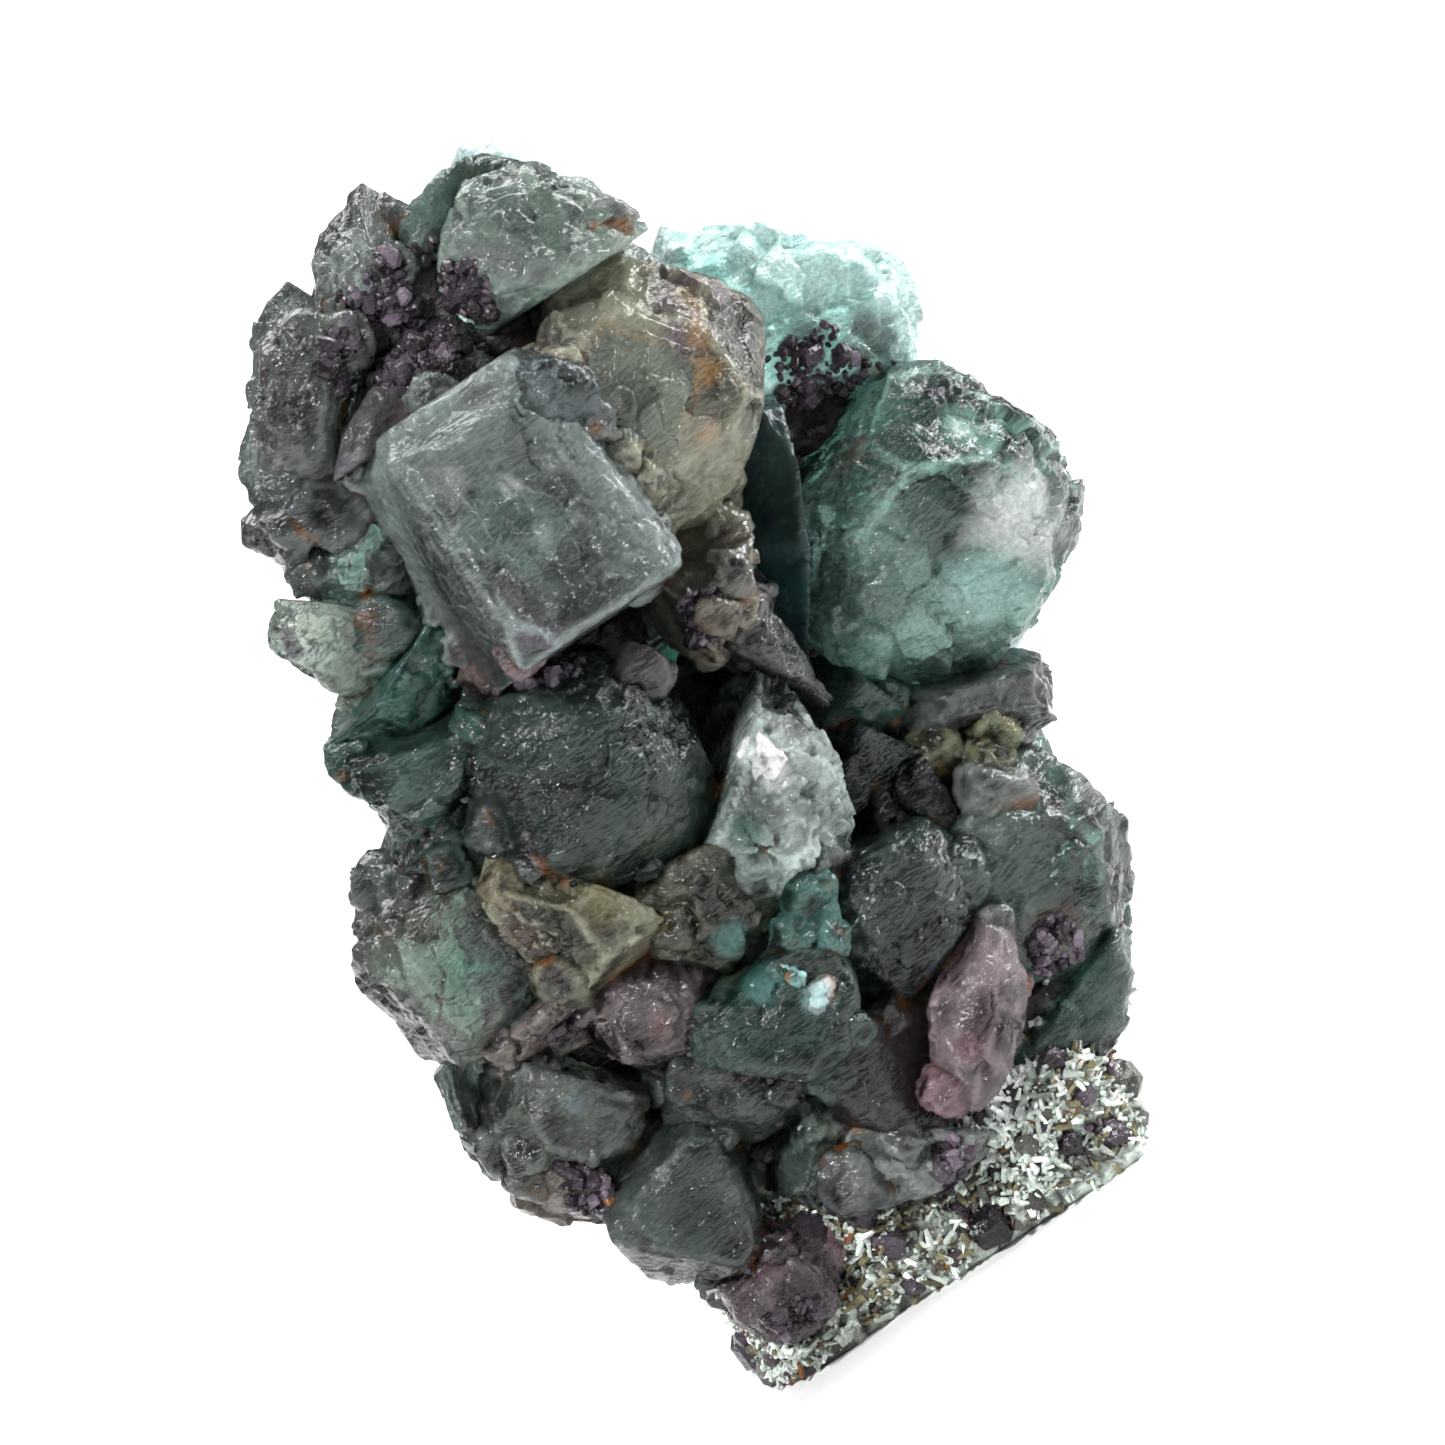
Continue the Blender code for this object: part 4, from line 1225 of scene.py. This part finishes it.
def build_rock_grains(settings):
    """Little crystals and broken grains that cover the bare rock: violet druse above, mixed grains below."""
    rock = bpy.data.objects["matrix_rock"].data
    points, outward = free_surface(rock, 0.75 * GAP)
    bare = rock_band(points) > 0.5
    rng = random.Random(53)
    size = settings.grain_size / TO_METRES
    druse, pale = np.array(settings.druse_colour), np.array(settings.rock_pale)
    rock_tones = (druse, settings.rock_colour, pale * 0.5, settings.rock_olive, pale, pale * 1.2, pale * 1.4)
    druse_tones = (druse * 0.4, druse * 0.7, druse, druse * 1.7, settings.rock_colour)
    for grains in (
        Grains("rock_grains", ROCK, True, 0.5, 0.75, 1.7, 2.7, rock_tones),
        Grains("violet_druse", LILAC, False, 1.5, 1.0, 1.2, 0.3, druse_tones),
        Grains("dark_crystals", GREY, True, 8.0, 2.2, 1.0, 1.0, druse_tones),
    ):
        chosen = bare & (points[:, 2] > 0.6) if grains.bare else ~bare
        places, normals = points[chosen], outward[chosen]
        shape = grain_shape
        if grains.slot == ROCK:
            # Three splinters for every point of the rock, thrown a little aside.
            shape = splinter_shape
            thrown = np.random.default_rng(58).uniform(-1, 1, (3 * len(places), 3))
            normals = np.tile(normals, (3, 1))
            places = np.tile(places, (3, 1)) + size * thrown
        kept = spread_out(places, grains.spacing * size, rng, int(grains.share * settings.grain_count))
        sizes = [grains.size * size * rng.uniform(0.6, 1.2) * rng.choice((1, 1, 1, 1.5)) for _ in kept]
        tints = []
        for patch in 0.72 + layered_noise(places[kept], 2.6, 57, 3):
            pick = int(np.clip(patch + rng.uniform(-0.3, 0.3), 0, 0.999) * len(grains.palette))
            tone = np.array(grains.palette[pick]) * rng.uniform(0.5, 1.4)
            if rng.random() < STAINED_SHARE:
                tone = np.array(settings.stain_colour) * rng.uniform(0.4, 0.9)
            tints.append(np.clip(tone, DARKEST, 1))
        scatter_grains(
            grains.name, grains.slot, places[kept], normals[kept], sizes, tints, 59, grains.length, shape
        )


def build_crumbs(settings):
    """Crumbs of druse and iron stain caught in the crevices between the crystals."""
    rng = random.Random(67)
    places, normals, _ = crevice_points(0.12, 0.42, -0.15)
    kept = spread_out(places, 0.62, rng, settings.crumb_count)
    stained = layered_noise(places[kept], 2.2, 77, 3)
    druse = np.array(settings.druse_colour)
    tints = []
    for share in stained:
        tone = druse * rng.uniform(0.4, 1.8)
        if share > 0.28 and rng.random() < 0.5:
            tone = np.array(settings.stain_colour) * rng.uniform(0.3, 1.1)
        elif rng.random() < 0.05:
            tone = np.array(settings.rock_pale) * rng.uniform(0.6, 1.1)
        tints.append(np.clip(tone, DARKEST, 1))
    sizes = [rng.uniform(0.08, 0.26) for _ in kept]
    scatter_grains("crevice_crumbs", LILAC, places[kept], normals[kept], sizes, tints, 71, 1.0)


class Patch(NamedTuple):
    """A patch of druse on the front of a crystal."""

    node: str
    across: float
    up: float
    radius: float


PATCHES = (
    Patch("crown_left", 1.6, -1.6, 2.6),
    Patch("crown_left", 2.4, 0.6, 1.8),
    Patch("crown_green", -2.4, -2.4, 2.4),
    Patch("crown_plate", -2.8, -2.8, 1.6),
    Patch("left_blade", 0.6, 2.4, 2.8),
    Patch("left_cheek", 1.6, 1.6, 1.4),
    Patch("great_rhomb", -5.4, -4.4, 1.8),
    Patch("great_rhomb", -3.0, -6.6, 1.8),
    Patch("great_dome", -1.8, 5.0, 1.7),
    Patch("amber_lower", 0.4, -2.8, 1.4),
    Patch("mint_cap", 2.0, -2.2, 2.4),
    Patch("east_block", 1.8, -3.6, 1.4),
    Patch("waist_crust", 0.0, 0.0, 1.4),
    Patch("foot_bar", 1.0, 0.0, 1.2),
    Patch("toe_violet", 0.4, -1.6, 1.1),
    Patch("fractured_grey", 2.4, -1.0, 1.0),
)


def build_druse_patches(settings):
    """Violet-black granular druse grown over parts of the large crystals."""
    rng = random.Random(97)
    places, normals = [], []
    for patch in PATCHES:
        points, outward = read_points(bpy.data.objects[patch.node + CRYSTAL_NAME].data)
        distance = np.linalg.norm(points - on_front(patch.node, patch.across, patch.up), axis=1)
        distance = distance + 0.5 * patch.radius * layered_noise(points, 1.4, 98, 3)
        within = (distance < patch.radius) & (points[:, 2] > 0.8)
        places.append(points[within])
        normals.append(outward[within])
    places, normals = np.concatenate(places), np.concatenate(normals)
    kept = spread_out(places, 0.30, rng, settings.grain_count)
    druse = np.array(settings.druse_colour)
    shades = [rng.uniform(0.3, 1.8) * rng.choice((1, 1, 1, 3)) for _ in kept]
    tints = [np.clip(druse * shade, DARKEST, 1) for shade in shades]
    sizes = [rng.uniform(0.10, 0.24) * rng.choice((1, 1, 2)) for _ in kept]
    scatter_grains("druse_patches", LILAC, places[kept], normals[kept], sizes, tints, 99, 1.2)


# ---------------------------------------------------------------------------------------------------------
# The stage
# ---------------------------------------------------------------------------------------------------------


FLOOR_SIZE = 4.0
SENSOR_WIDTH = 36  # of the camera


def build_floor(settings):
    """A wide sheet of pale paper."""
    sheet = bmesh.new()
    bmesh.ops.create_grid(sheet, x_segments=1, y_segments=1, size=FLOOR_SIZE)
    mesh = bpy.data.meshes.new("studio_floor")
    sheet.to_mesh(mesh)
    sheet.free()
    paper = bpy.data.materials.new("studio_paper")
    paper.use_nodes = True
    shader = paper.node_tree.nodes["Principled BSDF"]
    shader.inputs["Base Color"].default_value = (*settings.floor_colour, 1)
    shader.inputs["Roughness"].default_value = 0.9
    mesh.materials.append(paper)
    floor = bpy.data.objects.new("studio_floor", mesh)
    bpy.context.scene.collection.objects.link(floor)


def build_lights(settings):
    """A white surround, a small key light, a soft light from the side, and one on the floor behind."""
    world = bpy.data.worlds.new("studio_world")
    bpy.context.scene.world = world
    world.use_nodes = True
    background = world.node_tree.nodes["Background"]
    background.inputs["Color"].default_value = (1, 1, 1, 1)
    background.inputs["Strength"].default_value = settings.surround
    for name, place, aim, power, size in (
        ("key_light", (-0.22, -0.34, 0.42), (0, 0, 0.03), settings.key_power, 0.09),
        ("side_light", (0.36, 0.10, 0.20), (0, 0, 0.03), settings.side_power, 0.22),
        ("backdrop_light", (0.0, 0.55, 0.60), (0, 0.55, 0.03), settings.back_power, 0.60),
    ):
        lamp = bpy.data.lights.new(name, "AREA")
        lamp.energy = power
        lamp.size = size
        lit = bpy.data.objects.new(name, lamp)
        bpy.context.scene.collection.objects.link(lit)
        lit.location = place
        lit.rotation_euler = (Vector(aim) - Vector(place)).to_track_quat("-Z", "Y").to_euler()


def build_camera(settings):
    """A camera that sees the specimen leaning, as it is held."""
    camera = bpy.data.cameras.new("studio_camera")
    camera.sensor_width = SENSOR_WIDTH
    camera.lens = SENSOR_WIDTH * settings.view_distance / settings.view_width
    camera.clip_start = 0.01
    seen = bpy.data.objects.new("studio_camera", camera)
    bpy.context.scene.collection.objects.link(seen)
    turn = HELD_TO_STANDING @ Matrix.Rotation(math.radians(90), 3, "X")
    aim = HELD_TO_STANDING @ Vector((VIEW_ACROSS, 0, VIEW_UP)) * TO_METRES
    back = turn @ Vector((0, 0, 1))
    seen.matrix_world = Matrix.LocRotScale(aim + back * settings.view_distance, turn.to_quaternion(), None)
    bpy.context.scene.camera = seen
    bpy.context.scene.view_settings.view_transform = "Standard"


# ---------------------------------------------------------------------------------------------------------
# The add-on
# ---------------------------------------------------------------------------------------------------------


def colour_property(name, description, default):
    """A colour that a user can set."""
    return FloatVectorProperty(
        name=name, description=description, default=default, size=3, min=0, max=1, subtype="COLOR"
    )


class SpecimenSettings(bpy.types.PropertyGroup):
    """Sizes and colours of the finished specimen"""

    grow_out: FloatProperty(
        name="Growth", description="How far the crystals close the gap", default=0.00018, unit="LENGTH"
    )
    haze: FloatProperty(
        name="Haze", description="How light the crystals are", default=1.0, min=0, subtype="FACTOR"
    )
    richness: FloatProperty(
        name="Richness", description="How strong the colours of the crystals are", default=1.2, min=0
    )
    rim: FloatProperty(
        name="Frosted rims", description="How pale the rims of the faces are", default=0.75, subtype="FACTOR"
    )
    rock_fineness: FloatProperty(
        name="Rock fineness", description="Size of the rock's detail", default=0.0004, unit="LENGTH"
    )
    grain_size: FloatProperty(
        name="Grain size", description="Half size of the largest grains", default=0.00026, unit="LENGTH"
    )
    grain_count: IntProperty(
        name="Grains", description="Most grains of one kind on the rock", default=4400
    )
    filler_count: IntProperty(
        name="Fillers", description="Most crystals in the corners between the large ones", default=190
    )
    crumb_count: IntProperty(name="Crumbs", description="Most crumbs in the crevices", default=2000)
    stain_colour: colour_property("Iron stain", "Colour of the rusty stain", STAIN)
    druse_colour: colour_property("Druse", "Colour of the violet druse", (0.045, 0.035, 0.046))
    rock_colour: colour_property("Rock", "Colour of the broken rock", (0.12, 0.115, 0.10))
    rock_pale: colour_property("Pale grains", "Colour of the pale grains", (0.60, 0.67, 0.61))
    rock_olive: colour_property("Olive grains", "Colour of the olive grains", (0.20, 0.18, 0.10))


class StageSettings(bpy.types.PropertyGroup):
    """Light, floor and camera of the stage"""

    floor_colour: colour_property("Floor", "Colour of the floor", (0.9, 0.9, 0.9))
    surround: FloatProperty(name="Surround", description="Strength of the white surround", default=0.27)
    key_power: FloatProperty(name="Key", description="Power of the key light", default=3.4, unit="POWER")
    side_power: FloatProperty(name="Side", description="Power of the side light", default=3.0, unit="POWER")
    back_power: FloatProperty(
        name="Backdrop", description="Power of the light on the floor behind", default=9.0, unit="POWER"
    )
    view_distance: FloatProperty(
        name="Distance", description="Distance of the camera", default=0.6, unit="LENGTH"
    )
    view_width: FloatProperty(
        name="View width", description="Width of the view at that distance", default=0.07225, unit="LENGTH"
    )


class SPECIMEN_OT_crystals(bpy.types.Operator):
    """Grow the large crystals from the frame's solids"""

    bl_idname = "specimen.crystals"
    bl_label = "Large crystals"

    def execute(self, context):
        build_crystals(context.scene.specimen)
        return {"FINISHED"}


class SPECIMEN_OT_small_crystals(bpy.types.Operator):
    """Add the small crystals that sit on the large ones"""

    bl_idname = "specimen.small_crystals"
    bl_label = "Small crystals"

    def execute(self, context):
        build_small_crystals(context.scene.specimen)
        return {"FINISHED"}


class SPECIMEN_OT_filler_crystals(bpy.types.Operator):
    """Fill the corners between the large crystals with smaller ones"""

    bl_idname = "specimen.filler_crystals"
    bl_label = "Filler crystals"

    def execute(self, context):
        build_filler_crystals(context.scene.specimen)
        return {"FINISHED"}


class SPECIMEN_OT_rock(bpy.types.Operator):
    """Remake the matrix as rough, granular rock"""

    bl_idname = "specimen.rock"
    bl_label = "Matrix rock"

    def execute(self, context):
        build_rock(context.scene.specimen)
        return {"FINISHED"}


class SPECIMEN_OT_rock_grains(bpy.types.Operator):
    """Cover the matrix with grains and violet druse"""

    bl_idname = "specimen.rock_grains"
    bl_label = "Grains and druse"

    def execute(self, context):
        build_rock_grains(context.scene.specimen)
        return {"FINISHED"}


class SPECIMEN_OT_crumbs(bpy.types.Operator):
    """Catch crumbs of druse and stain in the crevices"""

    bl_idname = "specimen.crumbs"
    bl_label = "Crevice crumbs"

    def execute(self, context):
        build_crumbs(context.scene.specimen)
        return {"FINISHED"}


class SPECIMEN_OT_druse_patches(bpy.types.Operator):
    """Grow patches of violet druse over parts of the large crystals"""

    bl_idname = "specimen.druse_patches"
    bl_label = "Druse patches"

    def execute(self, context):
        build_druse_patches(context.scene.specimen)
        return {"FINISHED"}


class SPECIMEN_OT_stage(bpy.types.Operator):
    """Set up the floor, the lights and the camera"""

    bl_idname = "specimen.stage"
    bl_label = "Stage"

    def execute(self, context):
        settings = context.scene.specimen_stage
        build_floor(settings)
        build_lights(settings)
        build_camera(settings)
        return {"FINISHED"}


OPERATORS = (
    SPECIMEN_OT_crystals,
    SPECIMEN_OT_small_crystals,
    SPECIMEN_OT_filler_crystals,
    SPECIMEN_OT_rock,
    SPECIMEN_OT_rock_grains,
    SPECIMEN_OT_crumbs,
    SPECIMEN_OT_druse_patches,
    SPECIMEN_OT_stage,
)


class SPECIMEN_PT_panel(bpy.types.Panel):
    """The steps that build the specimen, and their settings"""

    bl_label = "Fluorite specimen"
    bl_space_type = "VIEW_3D"
    bl_region_type = "UI"
    bl_category = "Specimen"

    def draw(self, context):
        for settings in (context.scene.specimen, context.scene.specimen_stage):
            box = self.layout.box()
            for name in settings.__annotations__:
                box.prop(settings, name)
        for operator in OPERATORS:
            self.layout.operator(operator.bl_idname)


CLASSES = (SpecimenSettings, StageSettings, *OPERATORS, SPECIMEN_PT_panel)


def register():
    for each in CLASSES:
        bpy.utils.register_class(each)
    bpy.types.Scene.specimen = PointerProperty(type=SpecimenSettings)
    bpy.types.Scene.specimen_stage = PointerProperty(type=StageSettings)


def unregister():
    del bpy.types.Scene.specimen_stage
    del bpy.types.Scene.specimen
    for each in reversed(CLASSES):
        bpy.utils.unregister_class(each)


def main():
    register()
    bpy.ops.specimen.crystals()
    bpy.ops.specimen.small_crystals()
    bpy.ops.specimen.filler_crystals()
    bpy.ops.specimen.rock()
    bpy.ops.specimen.rock_grains()
    bpy.ops.specimen.crumbs()
    bpy.ops.specimen.druse_patches()
    bpy.ops.specimen.stage()


if __name__ == "__main__":
    main()
